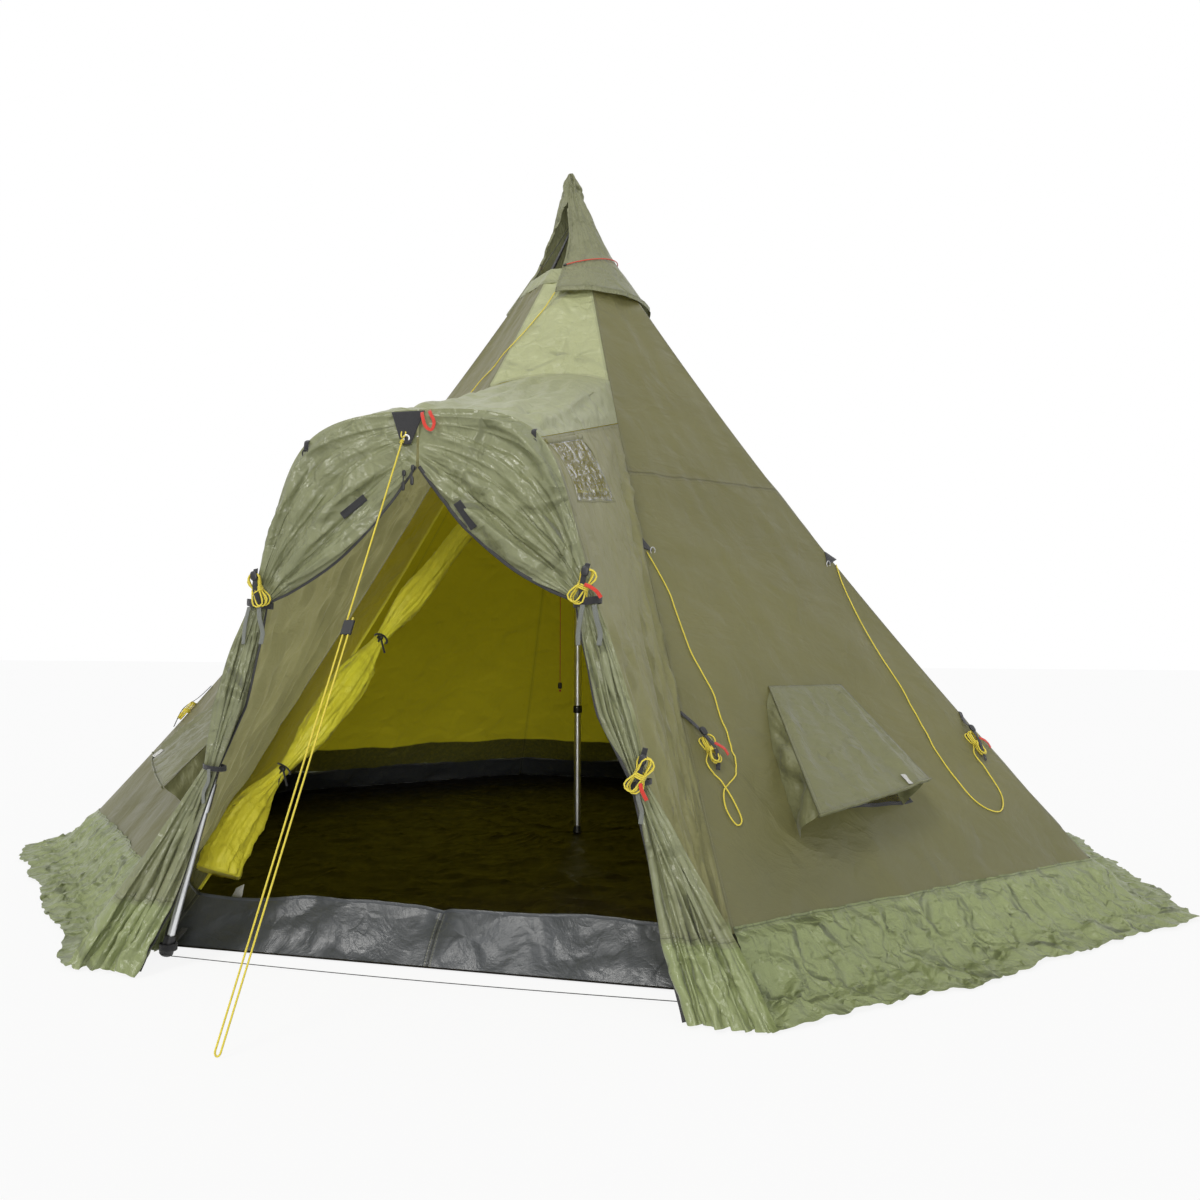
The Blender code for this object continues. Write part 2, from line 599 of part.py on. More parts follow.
# Poles
def make_poles(group, metal, plastic):
    bore = POLE_RADIUS - POLE_WALL
    turned("centre_pole_upper", [(bore, POLE_JOINT), (bore, POLE_TOP), (POLE_RADIUS, POLE_TOP),
                                 (POLE_RADIUS, POLE_JOINT)], 24, group, metal)
    foot_top = FLOOR + TOUCH + FOOT_PLUG_HEIGHT
    inner = LOWER_POLE_RADIUS - POLE_WALL
    turned("centre_pole_lower", [(inner, foot_top), (inner, POLE_JOINT + POLE_OVERLAP),
                                 (LOWER_POLE_RADIUS, POLE_JOINT + POLE_OVERLAP),
                                 (LOWER_POLE_RADIUS, foot_top)], 24, group, metal)
    low = FLOOR + TOUCH
    stem = inner - TOUCH
    turned("centre_pole_foot", [(0, foot_top + 0.02), (stem, foot_top + 0.02), (stem, foot_top - TOUCH),
                                (LOWER_POLE_RADIUS, foot_top - TOUCH), (LOWER_POLE_RADIUS + 0.004, low + 0.004),
                                (LOWER_POLE_RADIUS + 0.002, low), (0, low)], 24, group, plastic)

    top_start = leg_share(ARCH_FERRULE_HEIGHT)
    for hand, where in ((1, "right"), (-1, "left")):
        low_point = Vector((hand * leg_half(ARCH_FOOT_HEIGHT), PORCH_Y, ARCH_FOOT_HEIGHT))
        high_point = Vector((hand * leg_half(ARCH_FERRULE_HEIGHT), PORCH_Y, ARCH_FERRULE_HEIGHT))
        along = (high_point - low_point).normalized()
        length = (high_point - low_point).length
        socket = ARCH_RADIUS + TOUCH
        profile = [(0, length - ARCH_FERRULE_DEPTH), (socket, length - ARCH_FERRULE_DEPTH), (socket, length),
                   (ARCH_FERRULE_RADIUS, length), (ARCH_FERRULE_RADIUS, length - ARCH_FERRULE_DEPTH - 0.012),
                   (ARCH_RADIUS, length - ARCH_FERRULE_DEPTH - 0.018), (ARCH_RADIUS, 0), (0, 0)]
        turned("arch_pole_" + where, profile, 20, group, metal, low_point, along)
        grip = ARCH_RADIUS + TOUCH
        sole = ARCH_FOOT_DEPTH - ARCH_FOOT_HEIGHT
        foot = [(0, -TOUCH), (grip, -TOUCH), (grip, 0.02), (grip + 0.003, 0.02), (ARCH_FOOT_RADIUS, -0.018),
                (ARCH_FOOT_RADIUS, sole + 0.004), (ARCH_FOOT_RADIUS - 0.004, sole), (0, sole)]
        turned("arch_foot_" + where, foot, 20, group, plastic, low_point, along)
    lean = math.atan2(ARCH_FOOT_HALF - ARCH_KNEE_HALF, ARCH_KNEE_HEIGHT)
    plug = (ARCH_FERRULE_DEPTH - 2 * TOUCH) * math.cos(lean)
    start = leg_share(ARCH_FERRULE_HEIGHT - plug)
    shares = np.concatenate([[-start, -top_start, -0.6], np.linspace(-ARCH_BEND, ARCH_BEND, 19),
                             [0.6, top_start, start]])
    line = [Vector(((1 if t >= 0 else -1) * arch_at(abs(t))[0], PORCH_Y, arch_at(abs(t))[1]))
            for t in shares]
    tube("arch_pole_top", line, ARCH_RADIUS, group, metal, rounds=3)


# Peak
def make_peak(group, webbing, cloth, red, cutters):
    """A disc on the pole's head with webbing straps down the ridges to the collar, and the cap above."""
    disc_low = POLE_TOP + TOUCH
    disc = turned("peak_straps", [(0, disc_low + 0.008), (PEAK_DISC_RADIUS, disc_low + 0.006),
                                  (PEAK_DISC_RADIUS, disc_low), (0, disc_low)], 16, group, webbing)
    for k in range(SIDES // 2):
        turn = math.degrees(HALF_TURN) + k * 90.0
        start = POLE_RADIUS + 0.005
        angle = math.radians(turn)
        top = Vector((start * math.sin(angle), -start * math.cos(angle), disc_low + 0.004))
        foot = ridge_at(turn, COLLAR_TOP - 0.004, -0.0074)
        run = foot - top
        mesh = box_mesh("strap_form", (PEAK_STRAP_WIDTH, 0.002, run.length))
        strap = add("strap_%d" % k, mesh, cutters, webbing)
        sideways = Vector((math.cos(math.radians(turn)), math.sin(math.radians(turn)), 0))
        up = run.normalized()
        across = up.cross(sideways).normalized()
        basis = Matrix((sideways, across, up)).transposed().to_4x4()
        strap.matrix_world = Matrix.Translation(top.lerp(foot, 0.5)) @ basis
        strap.hide_render = True
        strap.display_type = "WIRE"
        join = disc.modifiers.new("Strap", "BOOLEAN")
        join.operation = "UNION"
        join.solver = "EXACT"
        join.object = strap

    def cap_inside(z):
        return ridge_radius(z) + CAP_CLEAR
    neck = 0.030
    heights = np.linspace(CAP_FOOT_HEIGHT, POLE_TOP - CAP_SHOULDER_DROP, 5)
    seat = disc_low + 0.008 + CLOSE
    inside = [(cap_inside(z), z) for z in heights] + [(neck - 0.004, seat - 0.001), (0, seat)]
    knob = ((0.0, 1.0), (0.009, 0.978), (0.015, 0.815), (0.016, 0.593), (0.022, 0.370), (0.030, 0.185),
            (0.033, 0.0))
    outside = [(radius, POLE_TOP + lerp(CAP_NECK_RISE, CAP_TIP_RISE, share)) for radius, share in knob]
    outside += [(0.036, POLE_TOP + CAP_SHOULDER_RISE)]
    outside += [(cap_inside(z) + FABRIC, z) for z in heights[::-1]]
    cap = turned("storm_cap", outside + inside, 32, group, cloth)
    wedge = bpy.data.meshes.new("cap_cut")
    middle = CAP_START - CAP_GAP / 2
    form = bmesh.new()
    bmesh.ops.create_cone(form, cap_ends=True, segments=3, radius1=1.0, radius2=1.0, depth=1.0)
    corners = [(0.0, 0.0), (CAP_GAP / 2, 1.0), (-CAP_GAP / 2, 1.0)]
    order = sorted({round(math.atan2(v.co.y, v.co.x), 3) for v in form.verts})
    for vertex in form.verts:
        swing, reach = corners[order.index(round(math.atan2(vertex.co.y, vertex.co.x), 3))]
        angle = middle + swing
        height = CAP_FOOT_HEIGHT - 0.08 if vertex.co.z < 0 else POLE_TOP + 0.005
        vertex.co = Vector((reach * math.sin(angle), -reach * math.cos(angle), height))
    form.normal_update()
    bmesh.ops.recalc_face_normals(form, faces=form.faces)
    form.to_mesh(wedge)
    form.free()
    cut(cap, add("cap_cut", wedge, cutters, cloth))

    ring = []
    for share in np.linspace(0, 1, 40):
        angle = CAP_START + math.radians(1.5) + share * (2 * math.pi - CAP_GAP - math.radians(3))
        z = ELASTIC_LOW + ELASTIC_RISE * math.sin(min(share * 2.4, 1.0) * math.pi / 2)
        radius = cap_inside(z) + FABRIC + ELASTIC_RADIUS * 1.35 + TOUCH
        ring.append(Vector((radius * math.sin(angle), -radius * math.cos(angle), z)))
    tube("cap_elastic", ring, ELASTIC_RADIUS, group, red, rounds=1)


# Inner tent, its rolled door, and the groundsheet
def make_inner(group, yellow, dark, tub):
    """Eight panels inside the walls, the one over the door cut off above the doorway."""
    low = FLOOR + TUB_HEIGHT + 0.7 * FABRIC
    rows = (INNER_TOP, 1.85, INNER_DOOR_TOP, 0.85, 0.45, low)
    names = {0: "front", 45: "front_right", 90: "right", 135: "back_right", 180: "back", -135: "back_left",
             -90: "left", -45: "front_left"}
    for face, where in names.items():
        out, side = face_axes(face)
        levels = rows[:3] if face == 0 else rows

        def surface(a, d, out=out, side=side, levels=levels):
            z = float(np.interp(d * (len(levels) - 1), range(len(levels)), levels))
            distance = face_distance(z) - INNER_INSET
            half = distance * math.tan(HALF_TURN) - PANEL_EDGE
            return out * distance + side * lerp(-1, 1, a) * half + Vector((0, 0, z))
        sheet("inner_" + where, surface, 1, len(levels) - 1, FABRIC, group, yellow, side=-1)

    count = 25
    line = smooth_run(ROLL_LINE, count)
    radii = []
    for k in range(count):
        share = k / (count - 1)
        pinch = min(abs(share - tie) for tie in ROLL_TIES)
        swell = 0.45 + 0.55 * min(pinch / 0.09, 1.0)
        radii.append(swell * (0.5 + 0.5 * min(share / 0.25, 1.0)))
    tube("inner_door_roll", line, ROLL_RADIUS, group, yellow, rounds=3, radii=radii)

    apothem = face_distance(0) - INNER_INSET + 0.012
    floor_radius = apothem / math.cos(HALF_TURN)
    outline = [(0, FLOOR), (floor_radius, FLOOR), (floor_radius, 0), (0, 0)]
    floor = turned("groundsheet", outline, SIDES, group, dark)
    floor.matrix_world = Matrix.Rotation(HALF_TURN, 4, "Z")
    base = FLOOR + TOUCH
    wall_radius = (face_distance(0) - INNER_INSET) / math.cos(HALF_TURN)
    lean = wall_radius - (ridge_radius(base + TUB_HEIGHT) - INNER_INSET / math.cos(HALF_TURN))
    top_radius = wall_radius - lean
    walls = turned("tub_wall", [(top_radius, base + TUB_HEIGHT), (wall_radius, base),
                                (wall_radius - FABRIC, base), (top_radius - FABRIC, base + TUB_HEIGHT)],
                   SIDES, group, tub)
    walls.matrix_world = Matrix.Rotation(HALF_TURN, 4, "Z")


# Cords
def least_gap(points, radius):
    """Smallest clear distance of a wound tube to itself, on points a turn's part away from each other."""
    fine = []
    for first, second in zip(points, points[1:]):
        for step in range(4):
            fine.append(first.lerp(second, step / 4))
    spots = np.array([list(p) for p in fine])
    reach = 20
    least = 1.0
    for k in range(len(spots) - reach):
        away = np.linalg.norm(spots[k + reach:] - spots[k], axis=1)
        least = min(least, float(away.min()))
    return least - 2 * radius


def hank_points(centre, along, normal):
    """Loops with round ends, drawn in at the waist, stacked a pitch apart."""
    sideways = normal.cross(along).normalized()
    turns = np.linspace(0, math.pi, 5)
    straight = HANK_HALF_LENGTH - HANK_HALF_WIDTH
    loop = [(straight + HANK_HALF_WIDTH * math.sin(t), HANK_HALF_WIDTH * math.cos(t)) for t in turns]
    loop.append((0.0, -HANK_WAIST))
    loop += [(-straight - HANK_HALF_WIDTH * math.sin(t), -HANK_HALF_WIDTH * math.cos(t)) for t in turns]
    loop.append((0.0, HANK_WAIST))
    flat = loop[-1:] + loop * HANK_LOOPS
    each = HANK_PITCH / len(loop)
    points = [centre + along * x + sideways * y + normal * (k * each) for k, (x, y) in enumerate(flat)]
    start = points[0] - (points[1] - points[0]).normalized() * 0.004
    end = points[-1] + (points[-1] - points[-2]).normalized() * 0.004
    return [start] + points + [end]


def make_hank(name, centre, along, normal, group, finish, lead=(), count=0):
    """A hank, with the cord that leads to it where it isn't put away whole."""
    points = hank_points(centre, along.normalized(), normal.normalized())
    gap = least_gap(points, GUY_RADIUS)
    if lead:
        points = smooth_run(list(lead) + points[:1], count)[:-1] + points
    tube(name, points, GUY_RADIUS, group, finish, rounds=1)
    print(name, "least gap %.2f mm" % (gap * 1000))


def patch_back(z):
    """How far forward the back of the guy line's webbing patch lies at a height."""
    return PORCH_Y - HEM / 2 - 1.5 * CLOSE - FLAP_CLOTH - FLAP_SHALLOW - PATCH_LEAN * (PATCH_TOP - z)


def make_cords(group, yellow, black, red, plastic):
    off = GUY_RADIUS + CORD_OFF_WALL
    start_angle = CAP_START - math.radians(0.48)
    cap_corner_z = CAP_FOOT_HEIGHT + 0.012
    corner_radius = ridge_radius(cap_corner_z) + CAP_CLEAR + FABRIC / 2
    corner = Vector((corner_radius * math.sin(start_angle), -corner_radius * math.cos(start_angle),
                     cap_corner_z))
    route = [corner]
    route += [wall_at(face, side, z, off + lift) for face, side, z, lift in CAP_LINE_ROUTE]
    tube("cap_line", smooth_run(route, 26), GUY_RADIUS, group, yellow)

    clear = PATCH_CLOTH + GUY_RADIUS + 0.4 * GUY_LOOP_RADIUS + TOUCH
    eyelet = Vector((EYELET[0], patch_back(EYELET[1]) - clear, EYELET[1]))
    ground = Vector((*GUY_GROUND, GUY_RADIUS + 0.001))
    run = (ground - eyelet).normalized()
    sideways = run.cross(Vector((0, 0, 1))).normalized()
    centre = ground - run * GUY_LOOP_RADIUS
    loop = [centre + sideways * (GUY_LOOP_RADIUS * math.cos(t)) + run * (GUY_LOOP_RADIUS * math.sin(t))
            for t in np.linspace(0, math.pi, 7)]
    strand = centre + sideways * GUY_LOOP_RADIUS
    head = strand - run * ((centre - eyelet).length)
    span = (strand - head).length
    slider_centre = head.lerp(strand, SLIDER_AT) - sideways * GUY_LOOP_RADIUS
    back = loop[-1] - run * (span * (1 - SLIDER_AT) + SLIDER[2] / 2 + 0.006)
    points = [head.lerp(strand, k / 14) for k in range(14)] + loop
    points += [loop[-1].lerp(back, k / 9) for k in range(1, 10)]
    tube("front_guy_line", points, GUY_RADIUS, group, yellow)
    print("front guy line head", [round(c, 4) for c in head], "slider", [round(c, 4) for c in slider_centre],
          "direction", [round(c, 4) for c in run])

    slider = add("guy_slider", box_mesh("guy_slider", SLIDER), group, plastic)
    basis = Matrix((sideways, run.cross(sideways).normalized(), run)).transposed().to_4x4()
    slider.matrix_world = Matrix.Translation(slider_centre) @ basis
    edge = slider.modifiers.new("Edges", "BEVEL")
    edge.width = 0.0015
    edge.segments = 1
    return slider, slider_centre, basis, eyelet, head


def make_fittings(group, cutters, slider_parts, webbing, plastic, red, black, steel, yellow):
    slider, centre, basis, eyelet, head = slider_parts
    for side in (-1, 1):
        mesh = bpy.data.meshes.new("cord_hole")
        form = bmesh.new()
        bmesh.ops.create_cone(form, cap_ends=True, segments=12, radius1=GUY_RADIUS + CORD_HOLE_GAP,
                              radius2=GUY_RADIUS + CORD_HOLE_GAP, depth=SLIDER[2] * 2)
        form.to_mesh(mesh)
        form.free()
        hole = add("cord_hole", mesh, cutters, plastic)
        place = Matrix.Translation((side * GUY_LOOP_RADIUS, 0, 0))
        hole.matrix_world = Matrix.Translation(centre) @ basis @ place
        cut(slider, hole)

    left, right = EYELET[0] - 0.042, EYELET[0] + 0.042

    def patch(a, d):
        """Webbing triangle: wide at the hem, narrowing round the eyelet at its point."""
        half = lerp(0.5, 0.14, d)
        z = lerp(PATCH_TOP, EYELET[1] - 0.014, d)
        x = lerp(left, right, 0.5) + (a - 0.5) * 2 * half * (right - left)
        return Vector((x, patch_back(z), z))
    sheet("guy_patch", patch, 2, 4, PATCH_CLOTH, group, webbing)

    foot = (leg_half(0.010), PORCH_Y - ARCH_FOOT_RADIUS - SPREADER_RADIUS - TOUCH, 0.010)
    run = [Vector((lerp(-foot[0], foot[0], share), foot[1], 0.010 - 0.006 * math.sin(math.pi * share)))
           for share in np.linspace(0, 1, 12)]
    tube("foot_cord", run, SPREADER_RADIUS, group, black, rounds=1)

    x, y = HANG_CORD_AT
    tube("hanging_cord", [Vector((x, y, z)) for z in np.linspace(HANG_CORD_HEAD, HANG_CORD_FOOT, 12)],
         HANG_CORD_RADIUS, group, red, rounds=1)
    bore = HANG_CORD_RADIUS + CORD_HOLE_GAP
    low = HANG_CORD_FOOT + 0.006
    turned("cord_lock", [(bore, low), (bore, low + LOCK_LENGTH), (LOCK_RADIUS * 0.7, low + LOCK_LENGTH),
                         (LOCK_RADIUS, low + LOCK_LENGTH * 0.7), (LOCK_RADIUS, low + LOCK_LENGTH * 0.2),
                         (LOCK_RADIUS * 0.8, low)], 12, group, plastic, Vector((x, y, 0)))


def make_hanks(group, yellow):
    """Guy lines put away in hanks at their guy points."""
    up_wall = (wall_at(45, 0, 0.6) - wall_at(45, 0, 0.4)).normalized()
    lift = GUY_RADIUS + HANK_OFF_WALL
    for name, side, z, route, count in (("front_right_bridle", -0.532, 0.495, FRONT_RIGHT_BRIDLE, 34),
                                        ("right_bridle", 0.530, 0.462, RIGHT_BRIDLE, 30)):
        lead = [wall_at(45, across, height, GUY_RADIUS + CORD_OFF_WALL) for across, height in route]
        make_hank(name, wall_at(45, side, z, lift), up_wall, wall_normal(45, z), group, yellow, lead, count)
    ridge = ridge_at(-67.5, 0.51, 0)
    out = Vector((math.sin(math.radians(-67.5)), -math.cos(math.radians(-67.5)), 0.55)).normalized()
    down = (ridge_at(-67.5, 0.60) - ridge_at(-67.5, 0.42)).normalized()
    make_hank("hank_left", ridge + out * lift * 0.55, down, out, group, yellow)
    front = PORCH_Y - HEM / 2 - CLOSE - FLAP_CLOTH
    for name, hand, x, z, forward in (("hank_right_leg", 1, 0.402, 0.902, 0.0079),
                                      ("hank_left_leg", -1, 0.402, 0.902, 0.0064),
                                      ("hank_right_flap", 1, 0.530, 0.490, 0.0125)):
        centre = Vector((hand * x, front - forward, z))
        make_hank(name, centre, Vector((hand * 0.45, 0, 0.9)), Vector((0, -1, 0)), group, yellow)


def main():
    clear_scene()
    tent = collection("tent")
    cutters = collection("cutters")
    olive = material("olive cloth", (0.165, 0.155, 0.075), 0.55)
    light = material("light olive cloth", (0.22, 0.23, 0.11), 0.50)
    green = material("skirt cloth", (0.19, 0.22, 0.085), 0.45)
    yellow_cloth = material("yellow inner cloth", (0.62, 0.50, 0.03), 0.60)
    brown = material("groundsheet", (0.020, 0.015, 0.012), 0.25)
    grey = material("tub wall", (0.055, 0.055, 0.060), 0.35)
    net = material("insect net", (0.030, 0.030, 0.022), 0.80)
    clear = material("window film", (0.80, 0.82, 0.80), 0.08)
    aluminium = material("aluminium", (0.72, 0.73, 0.74), 0.30, 1.0)
    black = material("black plastic", (0.020, 0.020, 0.022), 0.50)
    webbing = material("black webbing", (0.025, 0.025, 0.028), 0.80)
    yellow = material("yellow cord", (0.80, 0.62, 0.03), 0.70)
    red = material("red cord", (0.70, 0.05, 0.03), 0.60)

    walls = make_walls(tent, olive, cutters)
    make_collar(tent, light)
    make_skirts(tent, green)
    make_porch(tent, light, clear, cutters)
    make_flaps(tent, light)
    make_vents(tent, walls, cutters, olive, net)
    make_poles(tent, aluminium, black)
    make_peak(tent, webbing, light, red, cutters)
    make_inner(tent, yellow_cloth, brown, grey)
    slider_parts = make_cords(tent, yellow, black, red, black)
    make_fittings(tent, cutters, slider_parts, webbing, black, red, black, aluminium, yellow)
    make_hanks(tent, yellow)


main()
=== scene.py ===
"""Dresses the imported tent: walls, skirt, porch, flaps, vents, cap, inner tent, floor, cords and fittings.

Metres, +Z up, the centre pole on the origin and the door facing -Y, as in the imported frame.
"""
import json
import math

import bmesh
import bpy
import numpy as np
from mathutils import Matrix

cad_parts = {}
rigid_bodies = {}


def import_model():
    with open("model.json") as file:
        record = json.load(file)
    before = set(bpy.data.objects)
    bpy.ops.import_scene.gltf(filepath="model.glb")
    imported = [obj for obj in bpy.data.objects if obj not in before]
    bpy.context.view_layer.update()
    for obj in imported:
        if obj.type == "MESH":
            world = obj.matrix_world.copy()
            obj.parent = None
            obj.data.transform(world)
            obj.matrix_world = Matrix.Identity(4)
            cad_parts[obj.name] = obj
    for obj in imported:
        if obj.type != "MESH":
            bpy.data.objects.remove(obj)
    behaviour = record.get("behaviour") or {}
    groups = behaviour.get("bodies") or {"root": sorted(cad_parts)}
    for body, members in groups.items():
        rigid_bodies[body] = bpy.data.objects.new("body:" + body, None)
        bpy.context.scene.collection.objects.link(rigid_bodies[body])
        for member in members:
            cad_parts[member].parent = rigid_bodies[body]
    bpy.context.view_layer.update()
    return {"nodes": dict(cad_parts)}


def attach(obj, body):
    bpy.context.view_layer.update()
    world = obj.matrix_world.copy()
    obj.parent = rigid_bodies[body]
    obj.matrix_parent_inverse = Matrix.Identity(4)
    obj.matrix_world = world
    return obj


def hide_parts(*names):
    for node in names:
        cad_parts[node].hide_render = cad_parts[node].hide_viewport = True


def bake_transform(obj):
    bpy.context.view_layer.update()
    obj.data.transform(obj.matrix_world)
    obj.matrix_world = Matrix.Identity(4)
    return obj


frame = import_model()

bl_info = {
    "name": "Octagonal pole tent",
    "version": (1, 0, 0),
    "blender": (4, 5, 0),
    "location": "3D View > Sidebar > Tent",
    "description": "Cloth, cords, fittings and a pale stage for the eight-walled pole tent",
    "category": "Object",
}

# Walls: a straight slope with a flare towards the ground
TAU = math.tau
HALF_FACE = math.pi / 8
EIGHT_FACES = (0, 45, 90, 135, 180, -135, -90, -45)
HANDS = ((1, "right"), (-1, "left"))
TAN, COS = math.tan(HALF_FACE), math.cos(HALF_FACE)
WALL_APEX, WALL_SLOPE, FLARE, FOOT_FLARE = 2.627, 0.630, 24.39, 18.257
PANEL_TOP, PANEL_FOOT, COLLAR_TOP = 2.24, 0.13, 2.31
WALL_SEAM = 1.35
GUY_POINT_HEIGHT, LEFT_RIDGE = 1.066, -67.5

# Porch arch
PORCH_Y = -1.82
FOOT_HALF, KNEE_HALF, KNEE_HEIGHT = 0.655, 0.375, 1.00
SHOULDER_HALF, SHOULDER_HEIGHT, BROW_HALF, ARCH_TOP, ARCH_BEND = 0.308, 1.24, 0.31, 1.31, 0.45
ARCH_RADIUS, FERRULE_RADIUS, FOOT_RADIUS = 0.0095, 0.0125, 0.017
ROOF_EDGE, SEAM_SIDE, SEAM_RISE, ROOF_CORNER, ROOF_SAG = 0.225, 1.73, 0.045, 1.545, 0.020
HEM = 0.030
TIE_HEIGHT, LOW_TIE = 0.865, 0.47
FREE_EDGE = ((0.004, 1.190), (0.060, 1.115), (0.130, 1.035), (0.215, 0.960), (0.315, 0.900), (0.385, 0.870))
LOW_HEIGHTS = (0.006, 0.15, 0.30, LOW_TIE, 0.62, 0.78, TIE_HEIGHT)
LOW_INNER = (0.020, 0.030, 0.020, 0.016, 0.045, 0.040, 0.028)
LOW_OUTER = (0.165, 0.128, 0.075, 0.020, 0.035, 0.028, 0.018)
LOW_FORWARD = (0.105, 0.060, 0.022, 0.002, 0.004, 0.003, 0.001)

# Window, vents and hoods
WINDOW_TOP, WINDOW_LOW, WINDOW_DOWN = (0.12, 0.44), (0.19, 0.66), (0.085, 0.340)
VENT_HALF_TOP, VENT_HALF_FOOT, VENT_TOP, VENT_FOOT, VENT_SHIFT = 0.10, 0.17, 0.60, 0.34, 0.05
HOOD_TOP, HOOD_HALF_TOP, HOOD_HALF_RIM, HOOD_RIM_SHIFT = 0.655, 0.151, 0.250, 0.050
HOOD_LENGTH, HOOD_SKEW, HOOD_OPEN, HOOD_OUT, GUSSET_DROP = 0.44, 0.18, math.radians(13), 0.0018, 0.075

# Peak and cap
POLE_TOP, CAP_FOOT, CAP_CLEAR = 2.595, 2.170, 0.006
CAP_START, CAP_GAP = math.radians(-5.0), math.radians(68.0)
ELASTIC_LOW, ELASTIC_RISE, ELASTIC_RADIUS = 2.315, 0.075, 0.0022

# Inner tent and floor
INNER_BAND, WALL_LENGTH = (0.232, 0.238), 1.4
INSET, INNER_TOP, INNER_DOOR_TOP, FLOOR, TUB_HEIGHT = 0.10, 2.425, 1.30, 0.004, 0.11
ROLL_LINE = (
    (-0.195, -0.902, 1.156), (-0.275, -1.015, 0.999), (-0.363, -1.143, 0.824), (-0.438, -1.285, 0.637),
    (-0.513, -1.413, 0.470), (-0.5902, -1.5037, 0.3465), (-0.6244, -1.6041, 0.2195), (-0.630, -1.635, 0.165),
)
ROLL_RADIUS, ROLL_TIES, ROLL_SIDE = 0.0546, (0.37, 0.75), (0.3, 1, 0.2)

# Cords
GUY = 0.002
FRONT_RIGHT_HANK, RIGHT_HANK = (-0.532, 0.495), (0.530, 0.462)
LEG_HANK, FLAP_HANK = (0.402, 0.902), (0.530, 0.490)
FRONT_RIGHT_BRIDLE = (
    (-0.412, 1.060), (-0.402, 1.000), (-0.400, 0.930), (-0.412, 0.872), (-0.426, 0.795), (-0.432, 0.743),
    (-0.426, 0.690), (-0.420, 0.640), (-0.428, 0.600), (-0.440, 0.540), (-0.455, 0.480), (-0.478, 0.440),
    (-0.515, 0.420), (-0.548, 0.402), (-0.565, 0.365), (-0.556, 0.330), (-0.530, 0.340), (-0.528, 0.385),
    (-0.541, 0.425), (-0.560, 0.455), (-0.558, 0.478),
)
RIGHT_BRIDLE = (
    (0.420, 1.060), (0.400, 0.990), (0.385, 0.900), (0.370, 0.800), (0.364, 0.735), (0.366, 0.654),
    (0.362, 0.566), (0.348, 0.487), (0.345, 0.414), (0.356, 0.348), (0.385, 0.303), (0.428, 0.283),
    (0.465, 0.290), (0.500, 0.318), (0.510, 0.352), (0.505, 0.390), (0.499, 0.420), (0.504, 0.446),
)
CAP_LINE_ROUTE = (
    (0, -0.072, 2.090, 0.000), (0, -0.120, 2.005, 0.000), (0, -0.166, 1.925, 0.004), (-45, 0.166, 1.885, 0.004),
    (-45, 0.068, 1.771, 0.000), (-45, -0.030, 1.640, 0.000), (-45, -0.140, 1.485, 0.000),
    (-45, -0.250, 1.330, 0.000), (-45, -0.345, 1.190, 0.000), (-45, -0.395, 1.110, 0.000),
)
HANK_LOOPS, HANK_HALF_LENGTH, HANK_HALF_WIDTH, HANK_WAIST, HANK_PITCH = 4, 0.042, 0.013, 0.009, 0.0048
GUY_GROUND, GUY_LOOP, SLIDER_AT, SLIDER_LENGTH = (-0.197, -2.315), 0.008, 0.36, 0.034
EYELET, PATCH_TOP, PATCH_LEAN = (-0.024, 1.256), 1.3225, 0.12
VELCRO = {"right": ((0.112, 1.097), (0.150, 1.038)), "left": ((-0.186, 1.077), (-0.130, 1.121))}
HANG_AT, HANG_HEAD, HANG_FOOT = (-0.076, 0.0), 2.3240, 0.590


# Plain vector help on whole arrays
def unit(v):
    """A vector, or each of an array of vectors, divided by its length."""
    return v / np.linalg.norm(v, axis=-1, keepdims=True)


def lerp(low, high, share):
    return low + (high - low) * share


def steps(count):
    """Even steps from 0 to 1."""
    return np.linspace(0, 1, count)


def shares(columns, rows, low=0):
    """A grid's shares: across from low to 1, and down from 0 to 1."""
    return np.broadcast_arrays(np.linspace(low, 1, columns)[None, :], steps(rows)[:, None])


def ring_round(centre, side, up, count):
    """A closed oval: its centre, plus the side arrow times the cosine and the up arrow times the sine."""
    turn = np.linspace(0, TAU, count)[:, None]
    return np.asarray(centre, float) + np.asarray(side) * np.cos(turn) + np.asarray(up) * np.sin(turn)


def around(base, *moves):
    """Points given as moves from a base point."""
    return np.asarray(base, float) + np.array(moves)


def ease(low, high, x):
    """0 below low, 1 above high, and a smooth S between: 3t squared less 2t cubed."""
    t = np.clip((x - low) / (high - low), 0, 1)
    return t * t * (3 - 2 * t)


def stack(x, y, z):
    return np.stack(np.broadcast_arrays(x, y, z), -1).astype(float)


def waves(x, y, seed, count, longest, shortest, spread=math.pi, heading=0.0):
    """A smooth uneven sheet about 1 high: a sum of sine waves over the plane, each shorter one lower, with seeded
    headings and phases. Spread and heading keep the waves to one direction."""
    draw = np.random.default_rng(seed + 1000)
    total, size = 0.0, 0.0
    for k in range(count):
        length = longest * (shortest / longest) ** (k / max(count - 1, 1))
        turn = heading + draw.uniform(-spread, spread)
        weight = (length / longest) ** 0.7
        total = total + weight * np.sin(TAU / length * (x * math.cos(turn) + y * math.sin(turn))
                                        + draw.uniform(0, TAU))
        size += weight * weight / 2
    return total / math.sqrt(size)


